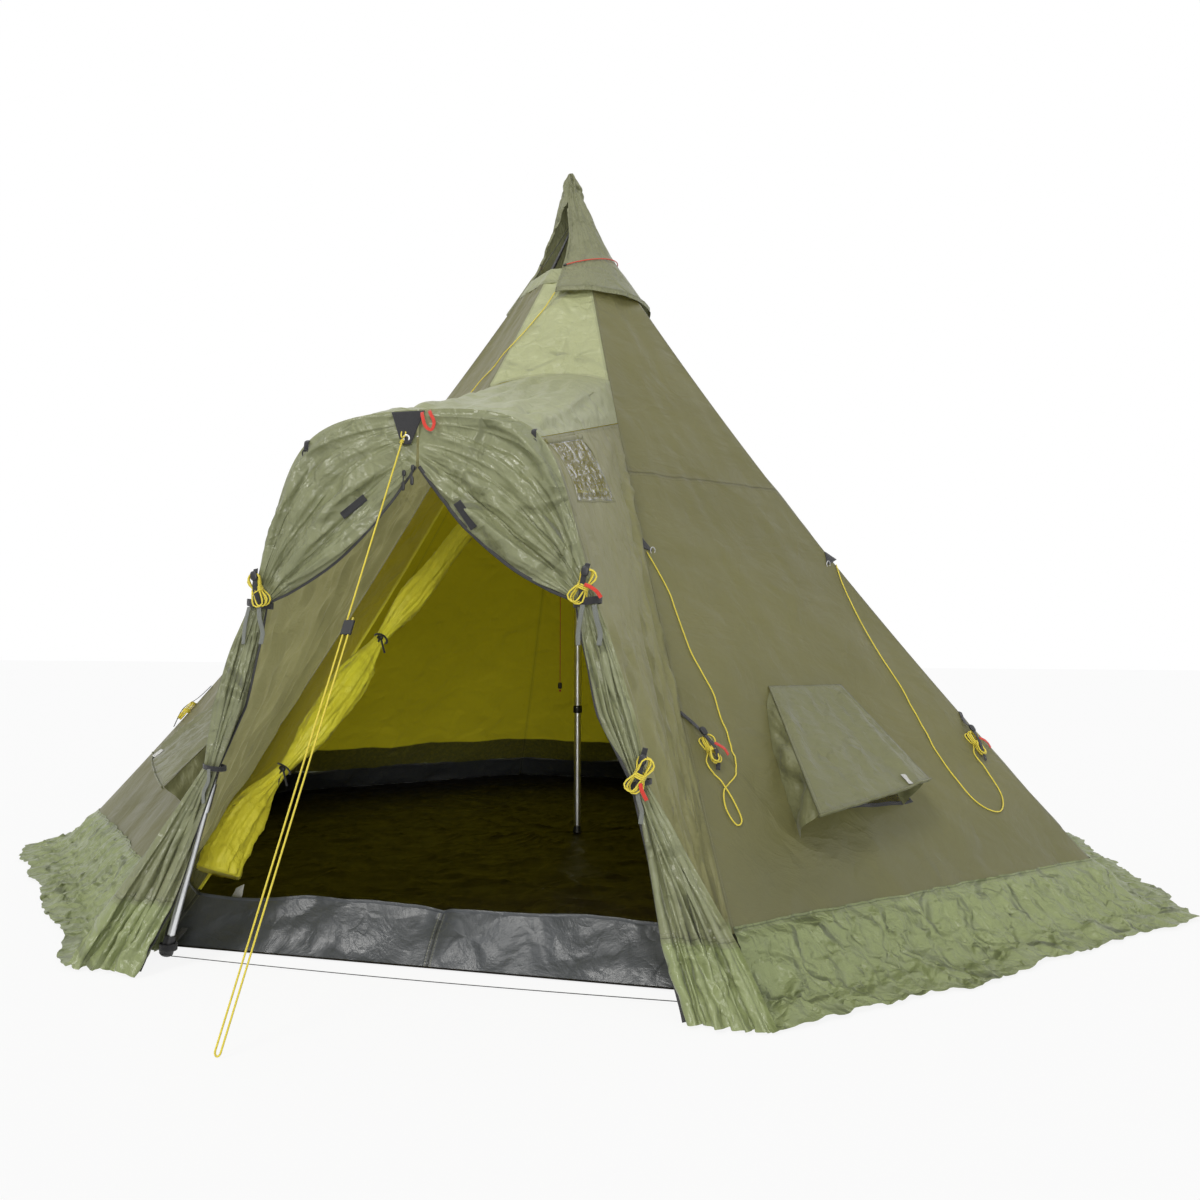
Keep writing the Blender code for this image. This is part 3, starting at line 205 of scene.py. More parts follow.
def creases(x, y, seed, longest, shortest, spread=math.pi, heading=0.0):
    """Crumpled cloth, 0 to 1 high: sharp ridges where a bent sheet of waves passes zero, two sizes added."""
    bend = 0.10 * longest * waves(x, y, seed + 5, 4, longest, longest / 3)
    broad = waves(x + bend, y - bend, seed, 5, longest, longest / 2.5, spread, heading)
    small = waves(x - bend, y + bend, seed + 9, 6, longest / 2.2, shortest, spread, heading)
    return 0.62 * np.exp(-1.6 * np.abs(broad)) + 0.38 * np.exp(-1.8 * np.abs(small))


def crumple(x, y, seed, longest, shortest, count=7):
    """Crushed thin cloth, about 0 to 1 high: triangle waves in seeded headings over a bent plane, each shorter one
    lower and fading in and out, so that flat facets meet in sharp creases."""
    draw = np.random.default_rng(seed + 2000)
    x, y = [v + 0.20 * longest * waves(x, y, seed + k, 4, longest * 2, longest / 2) for k, v in ((11, x), (12, y))]
    total, size = 0.0, 0.0
    for k in range(count):
        length = longest * (shortest / longest) ** (k / (count - 1))
        turn, phase = draw.uniform(0, TAU), draw.uniform(0, 1)
        along = (x * math.cos(turn) + y * math.sin(turn)) / length + phase
        fade = 0.6 + 0.4 * np.clip(waves(x, y, seed + 20 + k, 3, longest * 1.6, longest * 0.6), -1, 1)
        total = total + length * fade * np.abs(2 * (along % 1.0) - 1)
        size += length * 0.62
    return total / size


def tension(x, y, spots):
    """Folds that run out from each point where cloth is pulled: rays round it that fade with distance."""
    total = 0.0
    for k, (at_x, at_y, reach, rays) in enumerate(spots):
        away, turn = np.hypot(x - at_x, y - at_y), np.arctan2(y - at_y, x - at_x)
        ray = np.sin(turn * rays + 1.7 * k + 4 * away) + 0.6 * np.sin(turn * (rays * 2 + 1) + 2.3 * k - 5 * away)
        total = total + ray * ease(0, 0.35 * reach, away) * np.exp(-away / reach)
    return total


def smooth_path(points, count):
    """Points at even steps of length along a smooth curve through the given ones, each span a cubic whose ends
    follow its neighbours."""
    given = np.asarray(points, float)
    ends = np.concatenate([given[:1] * 2 - given[1:2], given, given[-1:] * 2 - given[-2:-1]])
    s = np.linspace(0, 1, 24, endpoint=False)[None, :, None]
    before, here, there, after = ends[:-3, None], ends[1:-2, None], ends[2:-1, None], ends[3:, None]
    fine = 0.5 * (here * 2 + (there - before) * s + (before * 2 - here * 5 + there * 4 - after) * s ** 2
                  + (here * 3 - before - there * 3 + after) * s ** 3)
    fine = np.concatenate([fine.reshape(-1, given.shape[1]), given[-1:]])
    return even_path(fine, count)


def even_path(fine, count):
    """The same line with its points at even steps of length."""
    along = np.concatenate([[0], np.cumsum(np.linalg.norm(np.diff(fine, axis=0), axis=1))])
    wanted = np.linspace(0, along[-1], count)
    return np.stack([np.interp(wanted, along, fine[:, k]) for k in range(fine.shape[1])], -1)


def path_length(points):
    return float(np.linalg.norm(np.diff(np.asarray(points), axis=0), axis=1).sum())


# The tent's own surfaces
def ridge_radius(z):
    """Distance from the pole to a ridge: slope times drop, plus drop squared over the flare length, plus drop cubed
    over the foot flare length squared."""
    drop = WALL_APEX - z
    return WALL_SLOPE * drop + drop ** 2 / FLARE + drop ** 3 / FOOT_FLARE ** 2


def face_distance(z):
    return ridge_radius(z) * COS


def axes(face):
    """Outward and sideways directions of the wall that faces this many degrees from the door."""
    turn = math.radians(face)
    return np.array([math.sin(turn), -math.cos(turn), 0.0]), np.array([math.cos(turn), math.sin(turn), 0.0])


def wall_normal(face, z):
    """Outward unit normal of a wall, from how fast its distance grows with each metre down."""
    drop = WALL_APEX - np.asarray(z, float)
    lean = COS * (WALL_SLOPE + 2 * drop / FLARE + 3 * (drop / FOOT_FLARE) ** 2)
    return unit(axes(face)[0] + lean[..., None] * np.array([0, 0, 1.0]))


def wall_lift(face, across, z):
    """How far the cloth stands off its plain wall: slow drape, long folds, puckers by the skirt's seam and small
    gathers below the crown band, all fading to nothing on the ridges."""
    half = face_distance(z) * TAN
    calm = 1 - np.clip(np.abs(across) / half, 0, 1) ** 8
    slow = 0.0045 * waves(across, z * 0.8, 40 + face, 6, 1.0, 0.30)
    lean = 0.0020 * waves(across, z * 0.30, 70 + face, 7, 0.26, 0.07, 0.5)
    guy_edge, foot_edge = [face_distance(height) * TAN for height in (GUY_POINT_HEIGHT, PANEL_FOOT)]
    pulled = [(end * across_at, up_at, reach, rays) for across_at, up_at, reach, rays in
              ((guy_edge, GUY_POINT_HEIGHT, 0.26, 7), (0.53, 0.49, 0.20, 9), (foot_edge, PANEL_FOOT, 0.34, 11))
              for end in (-1, 1)]
    if abs(face) == 45:
        pulled += [(end * 0.20 - math.copysign(VENT_SHIFT, face), 0.42, 0.16, 6) for end in (-1, 1)]
    lean = lean + 0.0034 * bpy.context.scene.tent_sizes.drape * tension(across, z, pulled)
    pucker = 0.0022 * waves(across, z * 0.3, 90 + face, 5, 0.11, 0.045, 0.3) * np.exp(-(z - PANEL_FOOT) / 0.09)
    gather = 0.0012 * np.sin(across * TAU / 0.05) * np.exp((z - PANEL_TOP) / 0.10)
    pinch = 0.0012 * np.sin(across * TAU / 0.06) * np.exp(-np.abs(z - WALL_SEAM) / 0.05)
    return calm * (slow + lean + pucker + gather + pinch)


def wall_at(face, across, z, off=0.0, lifted=True):
    """Points on a wall: out to its distance, across it, up to z, then off it along its normal."""
    across, z = np.broadcast_arrays(np.asarray(across, float), np.asarray(z, float))
    out, side = axes(face)
    rise = off + (wall_lift(face, across, z) if lifted else 0.0)
    plain = out * face_distance(z)[..., None] + side * across[..., None] + z[..., None] * np.array([0, 0, 1.0])
    return plain + wall_normal(face, z) * np.asarray(rise)[..., None]


def ridge_at(turn, z, off=0.0):
    angle = math.radians(turn)
    radius = ridge_radius(np.asarray(z, float)) + off
    return stack(radius * math.sin(angle), -radius * math.cos(angle), z)


def arch_at(t):
    """Half width and height of the arch at t, 0 at its top and 1 at its foot: a cubic bend through brow, shoulder
    and knee, then a straight leg."""
    t = np.abs(np.asarray(t, float))
    s = np.clip(t / ARCH_BEND, 0, 1)
    r = 1 - s
    half = 3 * s * r ** 2 * BROW_HALF + 3 * s * s * r * SHOULDER_HALF + s ** 3 * KNEE_HALF
    height = (r ** 3 + 3 * s * r ** 2) * ARCH_TOP + 3 * s * s * r * SHOULDER_HEIGHT + s ** 3 * KNEE_HEIGHT
    leg = np.clip((t - ARCH_BEND) / (1 - ARCH_BEND), 0, 1)
    straight = t > ARCH_BEND
    return (np.where(straight, lerp(KNEE_HALF, FOOT_HALF, leg), half),
            np.where(straight, KNEE_HEIGHT * (1 - leg), height))


def arch_off(t, out, y, hand=1):
    """Points beside the arch, `out` metres outside its centre line, square to it."""
    t = np.abs(np.asarray(t, float))
    near, far = arch_at(np.maximum(t - 0.005, 0)), arch_at(np.minimum(t + 0.005, 1))
    run = unit(np.stack([far[0] - near[0], far[1] - near[1]], -1))
    half, height = arch_at(t)
    return stack(hand * (half - run[..., 1] * out), y, height + run[..., 0] * out)


def leg_half(z):
    return lerp(FOOT_HALF, KNEE_HALF, z / KNEE_HEIGHT)


def leg_share(z):
    return 1 - (1 - ARCH_BEND) * z / KNEE_HEIGHT


def cloth_out(t):
    """How far outside the pole's centre line the porch cloth runs."""
    clear = (FOOT_RADIUS, FOOT_RADIUS, FERRULE_RADIUS, FERRULE_RADIUS, ARCH_RADIUS, 0.011, 0.011)
    return np.interp(arch_at(t)[1], (0.0, 0.14, 0.26, 0.54, 0.66, 0.98, 1.25), clear) + 0.0008


# Meshes from whole arrays
def metres(points, wrap=False):
    """Flat coordinates of a grid in metres: its mean length across, and its mean length down, up to each point."""
    closed = np.concatenate([points, points[:, :1]], 1) if wrap else points
    across = np.linalg.norm(np.diff(closed, axis=1), axis=2).mean(0)
    down = np.linalg.norm(np.diff(closed, axis=0), axis=2).mean(1)
    u, v = np.concatenate([[0], np.cumsum(across)]), np.concatenate([[0], np.cumsum(down)])
    return np.stack(np.broadcast_arrays(u[None, :], v[:, None]), -1)


def free_name(name):
    """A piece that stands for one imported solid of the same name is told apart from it."""
    return name + "_dressed" if name in frame["nodes"] else name


def linked(name, data):
    item = bpy.data.objects.new(name, data)
    bpy.context.scene.collection.objects.link(item)
    return item


def surface(name, points, finish, uv=None, wrap=False, keep=None, flip=False, layers=None, ends=()):
    """A grid of points (rows down, columns sideways) as a mesh facing outwards. Keep says which faces stay, wrap
    joins the last column to the first, and ends closes the first or last ring with one face."""
    rows, columns = points.shape[:2]
    i, j = np.meshgrid(np.arange(rows - 1), np.arange(columns if wrap else columns - 1), indexing="ij")
    if keep is not None:
        i, j = i[keep], j[keep]
    i, j = i.ravel(), j.ravel()
    down = np.stack([i, i + 1, i + 1, i], -1)
    over = np.stack([j, j, j + 1, j + 1], -1)
    if flip:
        down, over = down[:, ::-1], over[:, ::-1]
    down, over = down.ravel(), over.ravel()
    sizes = np.full(len(i), 4)
    ring = np.arange(columns)
    for end in ends:
        down = np.concatenate([down, np.full(columns, 0 if end == 0 else rows - 1)])
        over = np.concatenate([over, ring if (end == 0) != flip else ring[::-1]])
        sizes = np.append(sizes, columns)
    corners = down * columns + over % columns
    used, corners = np.unique(corners, return_inverse=True)
    mesh = bpy.data.meshes.new(name)
    mesh.vertices.add(len(used))
    mesh.vertices.foreach_set("co", points.reshape(-1, 3)[used].astype(np.float32).ravel())
    mesh.loops.add(len(corners))
    mesh.loops.foreach_set("vertex_index", corners.astype(np.int32).ravel())
    mesh.polygons.add(len(sizes))
    mesh.polygons.foreach_set("loop_start", np.concatenate([[0], np.cumsum(sizes)[:-1]]).astype(np.int32))
    mesh.polygons.foreach_set("use_smooth", np.ones(len(sizes), bool))
    flat = metres(points, wrap) if uv is None else uv
    mesh.uv_layers.new(name="UVMap").data.foreach_set("uv", flat[down, over].astype(np.float32).ravel())
    for label, values in {"seam": np.full(points.shape[:2], 0.5), "run": flat[:, :columns, 1],
                          **(layers or {})}.items():
        mesh.attributes.new(label, "FLOAT", "POINT").data.foreach_set(
            "value", np.broadcast_to(values, points.shape[:2]).reshape(-1)[used].astype(np.float32))
    mesh.update(calc_edges=True)
    mesh.materials.append(finished(finish))
    return linked(free_name(name), mesh)


def raised(points, height, wrap=False):
    """A grid moved along its own normals by a height at each point."""
    padded = np.concatenate([points[:, -1:], points, points[:, :1]], 1) if wrap else points
    down, across = np.gradient(padded, axis=0), np.gradient(padded, axis=1)
    normal = np.cross(down, across)
    normal = normal[:, 1:-1] if wrap else normal
    normal = normal / np.maximum(np.linalg.norm(normal, axis=-1, keepdims=True), 1e-12)
    return points + normal * np.asarray(height)[..., None]


def section(path, wide, thick, reference, rounds=12, square=1.0, twist=0.0):
    """An oval or, with square under 1, boxy section carried along a path, as a grid: sideways is the path's run
    crossed with the reference direction; wide and thick are half sizes, one or one for each point."""
    path = np.asarray(path, float)
    run = unit(np.gradient(path, axis=0))
    side = unit(np.cross(run, np.broadcast_to(np.asarray(reference, float), path.shape)))
    up = np.cross(side, run)
    turn = np.linspace(0, TAU, rounds, endpoint=False)[None, :] + np.zeros((len(path), 1))
    x = np.sign(np.cos(turn)) * np.abs(np.cos(turn)) ** square * np.broadcast_to(wide, len(path))[:, None]
    y = np.sign(np.sin(turn)) * np.abs(np.sin(turn)) ** square * np.broadcast_to(thick, len(path))[:, None]
    swing = np.broadcast_to(twist, len(path))[:, None]
    x, y = x * np.cos(swing) - y * np.sin(swing), x * np.sin(swing) + y * np.cos(swing)
    return path[:, None] + side[:, None] * x[..., None] + up[:, None] * y[..., None]


def strand(name, path, wide, thick, reference, finish, rounds=12, square=1.0, twist=0.0, layers=None):
    """A section carried along a path and closed at both ends: a cord, tape, strap or binding."""
    return surface(name, section(path, wide, thick, reference, rounds, square, twist), finish, wrap=True,
                   ends=(0, 1), layers=layers)


def pebble(name, centre, along, reference, half, finish, square=0.6, rounds=16, power=3.0):
    """A rounded block: a boxy section along a short straight path, its size falling off at both ends as one minus
    the distance to a power, to the inverse of that power."""
    t = np.sin(np.linspace(-1, 1, 13) * math.pi / 2 * 0.985)
    size = (1 - np.abs(t) ** power) ** (1 / power)
    along = unit(np.asarray(along, float))
    path = np.asarray(centre, float) + along * (t * half[0])[:, None]
    return strand(name, path, size * half[1], size * half[2], reference, finish, rounds, square)


def joined(name, items):
    """Several meshes as one object, each keeping its own material."""
    form = bmesh.new()
    finishes = []
    for item in items:
        start = len(form.faces)
        form.from_mesh(item.data)
        form.faces.ensure_lookup_table()
        finish = item.data.materials[0]
        if finish not in finishes:
            finishes.append(finish)
        for face in form.faces[start:]:
            face.material_index = finishes.index(finish)
        bpy.data.meshes.remove(item.data)
    mesh = bpy.data.meshes.new(name)
    form.to_mesh(mesh)
    form.free()
    for finish in finishes:
        mesh.materials.append(finish)
    return linked(free_name(name), mesh)


def cord_tube(name, path, radius, reference, finish):
    return strand(name, path, radius, radius, reference, finish, rounds=10)


# Materials: sockets with plain arithmetic
class Value:
    """One output socket. Arithmetic with it, on either side of a number, makes Math nodes."""

    def __init__(self, graph, socket):
        self.graph, self.socket = graph, socket

    def maths(self, kind, other=None, swap=False):
        pair = [self] if other is None else [other, self] if swap else [self, other]
        return self.graph.node("ShaderNodeMath", {"operation": kind}, pair)

    def __add__(self, other):
        return self.maths("ADD", other)

    def __sub__(self, other):
        return self.maths("SUBTRACT", other)

    def __rsub__(self, other):
        return self.maths("SUBTRACT", other, True)

    def __mul__(self, other):
        return self.maths("MULTIPLY", other)

    def __truediv__(self, other):
        return self.maths("DIVIDE", other)

    def __rtruediv__(self, other):
        return self.maths("DIVIDE", other, True)

    def __pow__(self, other):
        return self.maths("POWER", other)

    __radd__ = __add__
    __rmul__ = __mul__


class Graph:
    """A material being made. Every node comes from node(): its type, its settings and its sockets' values."""

    def __init__(self, name):
        self.material = bpy.data.materials.new(name + "_finish")
        self.material.use_nodes = True
        self.tree = self.material.node_tree
        self.tree.nodes.clear()

    def node(self, kind, settings=None, values=(), out=0):
        made = self.tree.nodes.new(kind)
        for key, setting in (settings or {}).items():
            setattr(made, key, setting)
        for key, value in (values.items() if isinstance(values, dict) else enumerate(values)):
            if isinstance(value, Value):
                self.tree.links.new(value.socket, made.inputs[key])
            else:
                made.inputs[key].default_value = value
        return Value(self, made.outputs[out]) if len(made.outputs) else made

    def place(self):
        return self.node("ShaderNodeTexCoord", out="Object")

    def across_down(self):
        """The piece's own flat coordinates, in metres."""
        return [self.node("ShaderNodeSeparateXYZ", values=[self.node("ShaderNodeTexCoord", out="UV")], out=axis)
                for axis in "XY"]

    def number(self, label):
        return self.node("ShaderNodeAttribute", {"attribute_name": label}, out="Fac")

    def vector(self, kind, values, out=0):
        return self.node("ShaderNodeVectorMath", {"operation": kind}, values, out)

    def stretched(self, spot, scale):
        return self.vector("MULTIPLY", [spot, scale])

    def noise(self, spot, scale, detail=3.0, rough=0.55, bend=0.0):
        return self.node("ShaderNodeTexNoise", values={"Vector": spot, "Scale": scale, "Detail": detail,
                                                       "Roughness": rough, "Distortion": bend})

    def facets(self, spot, scale, bend=0.9):
        """Crushed cloth: in each cell of a bent space a flat facet with its own tilt, level along the cell's edge.
        The height is the cell's random direction times the way from its centre, in cells."""
        shift = self.node("ShaderNodeTexNoise", values={"Vector": spot, "Scale": scale * 0.7, "Detail": 2.0}, out=1)
        bent = self.vector("MULTIPLY_ADD", [shift, (bend / scale,) * 3, spot])
        cell = {"Vector": bent, "Scale": scale}
        toward, centre = (self.node("ShaderNodeTexVoronoi", {"feature": "F1"}, cell, out)
                          for out in ("Color", "Position"))
        lean, away = self.vector("SUBTRACT", [toward, (0.5,) * 3]), self.vector("SUBTRACT", [bent, centre])
        tilt = self.vector("DOT_PRODUCT", [lean, away], "Value")
        border = self.node("ShaderNodeTexVoronoi", {"feature": "DISTANCE_TO_EDGE"}, cell)
        return tilt * self.band(border, 0.0, 0.22)

    def band(self, x, low, high):
        """0 up to low, 1 from high, a smooth S between."""
        return self.node("ShaderNodeMapRange", {"interpolation_type": "SMOOTHSTEP"},
                         {"Value": x, "From Min": low, "From Max": high})

    def blend(self, share, low, high):
        low, high = (v if isinstance(v, Value) else (*v[:3], 1.0) for v in (low, high))
        return self.node("ShaderNodeMix", {"data_type": "RGBA"}, {0: share, 6: low, 7: high}, out=2)

    def waves(self, x, pitch):
        """A sine of a length, 0 to 1, with this pitch in metres."""
        return (x * (TAU / pitch)).maths("SINE") * 0.5 + 0.5

    def bump(self, height):
        return self.node("ShaderNodeBump", values={"Strength": 1.0, "Distance": 1.0, "Height": height})

    def principled(self, **values):
        named = {key.replace("_", " "): value for key, value in values.items()}
        return self.node("ShaderNodeBsdfPrincipled", values=named)

    def solid(self, **values):
        return self.output(self.principled(**values))

    def looked_at(self):
        """1 for what the camera sees straight, in gloss or through glass, 0 for light on its way."""
        seen, gloss, glass = (self.node("ShaderNodeLightPath", out="Is %s Ray" % kind)
                              for kind in ("Camera", "Glossy", "Transmission"))
        return seen.maths("MAXIMUM", gloss).maths("MAXIMUM", glass)

    def output(self, shader):
        self.node("ShaderNodeOutputMaterial", values={"Surface": shader})
        return self.material


def shade(colour, factor):
    return tuple(min(c * factor, 1.0) for c in colour[:3])


def sewn(graph, base, height):
    """Seams on a cloth: a felled band, a dark line along the join, and a row of stitches on each side."""
    seam, run = graph.number("seam"), graph.number("run")
    tape = 1.0 - graph.band(seam, 0.009, 0.012)
    join = 1.0 - graph.band(seam, 0.0006, 0.0030)
    row = 1.0 - graph.band((seam - 0.0070).maths("ABSOLUTE"), 0.0007, 0.0016)
    dash = graph.band(((run / 0.0062).maths("FRACT") - 0.5).maths("ABSOLUTE"), 0.08, 0.16)
    stitch = row * dash
    base = graph.blend(tape * 0.16, base, (0.02, 0.02, 0.01))
    base = graph.blend(join * 0.55, base, (0.012, 0.012, 0.006))
    base = graph.blend(stitch * 0.35, base, (0.30, 0.30, 0.20))
    return base, height + tape * 0.0007 - join * 0.0009 + stitch * 0.0003 - row * 0.0003


def woven_cloth(name, tone, crumple, size, facet, glow, glow_tone, rough, sheen=0.12, patch=None, gloss=0.5):
    """Coated tent cloth: tone drifting over the panels, a fine ripstop grid, soft crumples, seams, and a little
    light through it. Patch is a second tone taken where the attribute "foot" is 1."""
    graph = Graph(name)
    spot = graph.place()
    drift = graph.band(graph.noise(spot, 1.1, 4.0, 0.6), 0.32, 0.68)
    mottle = graph.noise(spot, 55.0, 3.0)
    base = graph.blend(drift, shade(tone, 0.90), shade(tone, 1.08))
    if patch is not None:
        base = graph.blend(graph.number("foot"), base, patch)
    base = graph.blend(graph.band(mottle, 0.35, 0.75) * 0.16, base, shade(tone, 0.62))
    u, v = graph.across_down()
    rip = graph.waves(u, 0.0052) ** 14.0 + graph.waves(v, 0.0052) ** 14.0
    thread = graph.waves(u, 0.0013) * graph.waves(v, 0.0013)
    base = graph.blend(rip * 0.05, base, shade(tone, 1.5))
    fold = graph.noise(spot, size, 6.0, 0.55, 0.9)
    ridge = 1.0 - (fold * 2.0 - 1.0).maths("ABSOLUTE")
    height = ridge ** 2.0 * crumple + rip * 0.00003 + thread * 0.00003
    height = height + graph.facets(spot, size) * facet + graph.facets(spot, size * 2.9) * (facet * 0.6)
    base, height = sewn(graph, base, height)
    normal = graph.bump(height)
    finish = graph.band(graph.noise(spot, 9.0, 3.0), 0.3, 0.7) * 0.12 + rough
    shader = graph.principled(Base_Color=base, Roughness=finish, Normal=normal, Sheen_Weight=sheen,
                              Sheen_Roughness=0.45, Specular_IOR_Level=gloss)
    if glow:
        through = graph.node("ShaderNodeBsdfTranslucent",
                             values={"Color": (*(glow_tone or shade(tone, 1.5)), 1.0), "Normal": normal})
        share = glow if patch is None else (1.0 - graph.number("foot") * 0.92) * glow
        shader = graph.node("ShaderNodeMixShader", values=[share, shader, through])
    return graph.output(shader)


def net_finish(name, tone):
    """Insect net: threads 1.1 mm apart both ways, with see-through squares between them."""
    graph = Graph(name)
    u, v = graph.across_down()
    thread = graph.waves(u, 0.0011).maths("MAXIMUM", graph.waves(v, 0.0011))
    soft = graph.noise(graph.place(), 30.0)
    base = graph.blend(soft, shade(tone, 0.7), shade(tone, 1.4))
    return graph.solid(Base_Color=base, Roughness=0.8, Alpha=graph.band(thread, 0.30, 0.75),
                       Normal=graph.bump(thread * 0.0002))


def film_finish(name, tone):
    """Clear window film: see-through, with painted white highlights along its creases, where lines of whiter, less
    see-through film stand in for glints, and facets that catch the light.
    """
    graph = Graph(name)
    spot = graph.place()
    wrinkle = graph.facets(spot, 12.0) + graph.facets(spot, 34.0) * 0.6
    crease = graph.noise(graph.stretched(spot, (1.0, 1.0, 1.6)), 22.0, 4.0, 0.6, 2.0)
    # Painted highlight: thin lines along the creases where the colour goes white and the film is less clear.
    painted_glint = 1.0 - graph.band((crease - 0.5).maths("ABSOLUTE"), 0.004, 0.034)
    patch = graph.band(graph.noise(spot, 13.0, 3.0, 0.5, 1.0), 0.54, 0.62)
    edge = 1.0 - graph.band(graph.number("seam"), 0.006, 0.016)
    # The painted highlight lines whiten the colour and raise the film's alpha.
    base = graph.blend(painted_glint, shade(tone, 0.55), tone)
    return graph.solid(Base_Color=base, Roughness=0.12, Specular_IOR_Level=1.0,
                       Alpha=painted_glint * 0.45 + patch * 0.40 + edge * 0.3 + 0.22,
                       Normal=graph.bump(wrinkle * 0.16), Coat_Weight=0.6, Coat_Roughness=0.05)


def metal_finish(name, tone):
    """Drawn aluminium: fine lines along the tube, dulled in patches, with a few darker scuffs."""
    graph = Graph(name)
    spot = graph.place()
    lines = graph.noise(graph.stretched(spot, (420.0, 420.0, 6.0)), 1.0, 3.0)
    dull = graph.band(graph.noise(spot, 22.0, 4.0), 0.40, 0.70)
    scuff = graph.band(graph.noise(graph.stretched(spot, (160.0, 160.0, 45.0)), 1.0, 4.0, 0.7), 0.63, 0.70)
    base = graph.blend(dull * 0.35, tone, shade(tone, 0.72))
    base = graph.blend(scuff * 0.2, base, (0.30, 0.30, 0.30))
    return graph.solid(Base_Color=base, Metallic=1.0, Roughness=lines * 0.06 + dull * 0.08 + 0.32,
                       Normal=graph.bump(lines * 0.00001))


def plastic_finish(name, tone):
    """Moulded plastic: a fine spark-eroded grain, paler on worn patches."""
    graph = Graph(name)
    spot = graph.place()
    grain = graph.noise(spot, 900.0, 2.0)
    worn = graph.band(graph.noise(spot, 60.0, 4.0, 0.6), 0.52, 0.72)
    base = graph.blend(worn * 0.5, tone, tuple(c * 1.8 + 0.010 for c in tone[:3]))
    return graph.solid(Base_Color=base, Roughness=worn * 0.18 + 0.42, Normal=graph.bump(grain * 0.00008))


def webbing_finish(name, tone):
    """Woven tape: a herringbone of slanted ribs that turn at the middle, edges a little fluffy."""
    graph = Graph(name)
    u, v = graph.across_down()
    slant = (graph.waves(u, 0.006) - 0.5).maths("ABSOLUTE") * 0.004
    rib = graph.waves(v + slant, 0.0020)
    fluff = graph.noise(graph.place(), 450.0, 3.0)
    base = graph.blend(rib, shade(tone, 0.6), shade(tone, 1.5))
    base = graph.blend(graph.band(fluff, 0.5, 0.8) * 0.3, base, tuple(c + 0.05 for c in tone[:3]))
    return graph.solid(Base_Color=base, Roughness=0.82, Sheen_Weight=0.25,
                       Normal=graph.bump(rib * 0.0003 + fluff * 0.0001))


def braid_finish(name, tone, fleck):
    """Braided cord: two sets of strands winding round it against each other, with a contrasting fleck."""
    graph = Graph(name)
    u, v = graph.across_down()
    left, right = graph.waves(u * 1.2 + v, 0.0034), graph.waves(v - u * 1.2, 0.0034)
    plait = left.maths("MAXIMUM", right)
    wear = graph.noise(graph.place(), 120.0, 3.0)
    base = graph.blend(plait, shade(tone, 0.55), tone)
    base = graph.blend(left * right * 0.22, base, fleck)
    base = graph.blend(graph.band(wear, 0.5, 0.8) * 0.25, base, shade(tone, 0.7))
    return graph.solid(Base_Color=base, Roughness=0.62, Sheen_Weight=0.2, Normal=graph.bump(plait * 0.00045))


def zip_finish(name, tone):
    """Zip: tape on both sides and a line of teeth down the middle of its width."""
    graph = Graph(name)
    u, v = graph.across_down()
    teeth = graph.waves(v, 0.0032)
    tape = graph.waves(v, 0.0012) * graph.waves(u, 0.0012)
    base = graph.blend(teeth * 0.6, tone, tuple(c * 1.6 + 0.02 for c in tone[:3]))
    return graph.solid(Base_Color=base, Roughness=0.5, Normal=graph.bump(teeth * 0.0005 + tape * 0.0001))


def stage_finish(name, tone):
    """Pale floor: a soft matt surface that the camera, gloss and glass see as plain white light, with the object's
    shadow kept by laying some of the lit surface over it."""
    graph = Graph(name)
    grain = graph.noise(graph.place(), 6.0, 3.0)
    base = graph.blend(grain * 0.3, tone, shade(tone, 0.97))
    lit = graph.principled(Base_Color=base, Roughness=0.9, Specular_IOR_Level=0.1)
    white = graph.node("ShaderNodeEmission", values={"Color": (1.0, 1.0, 1.0, 1.0), "Strength": 1.0})
    return graph.output(graph.node("ShaderNodeMixShader", values=[graph.looked_at() * 0.88, lit, white]))


OLIVE_GLOW, LIGHT_GLOW = (0.75, 0.72, 0.36), (0.85, 0.85, 0.50)


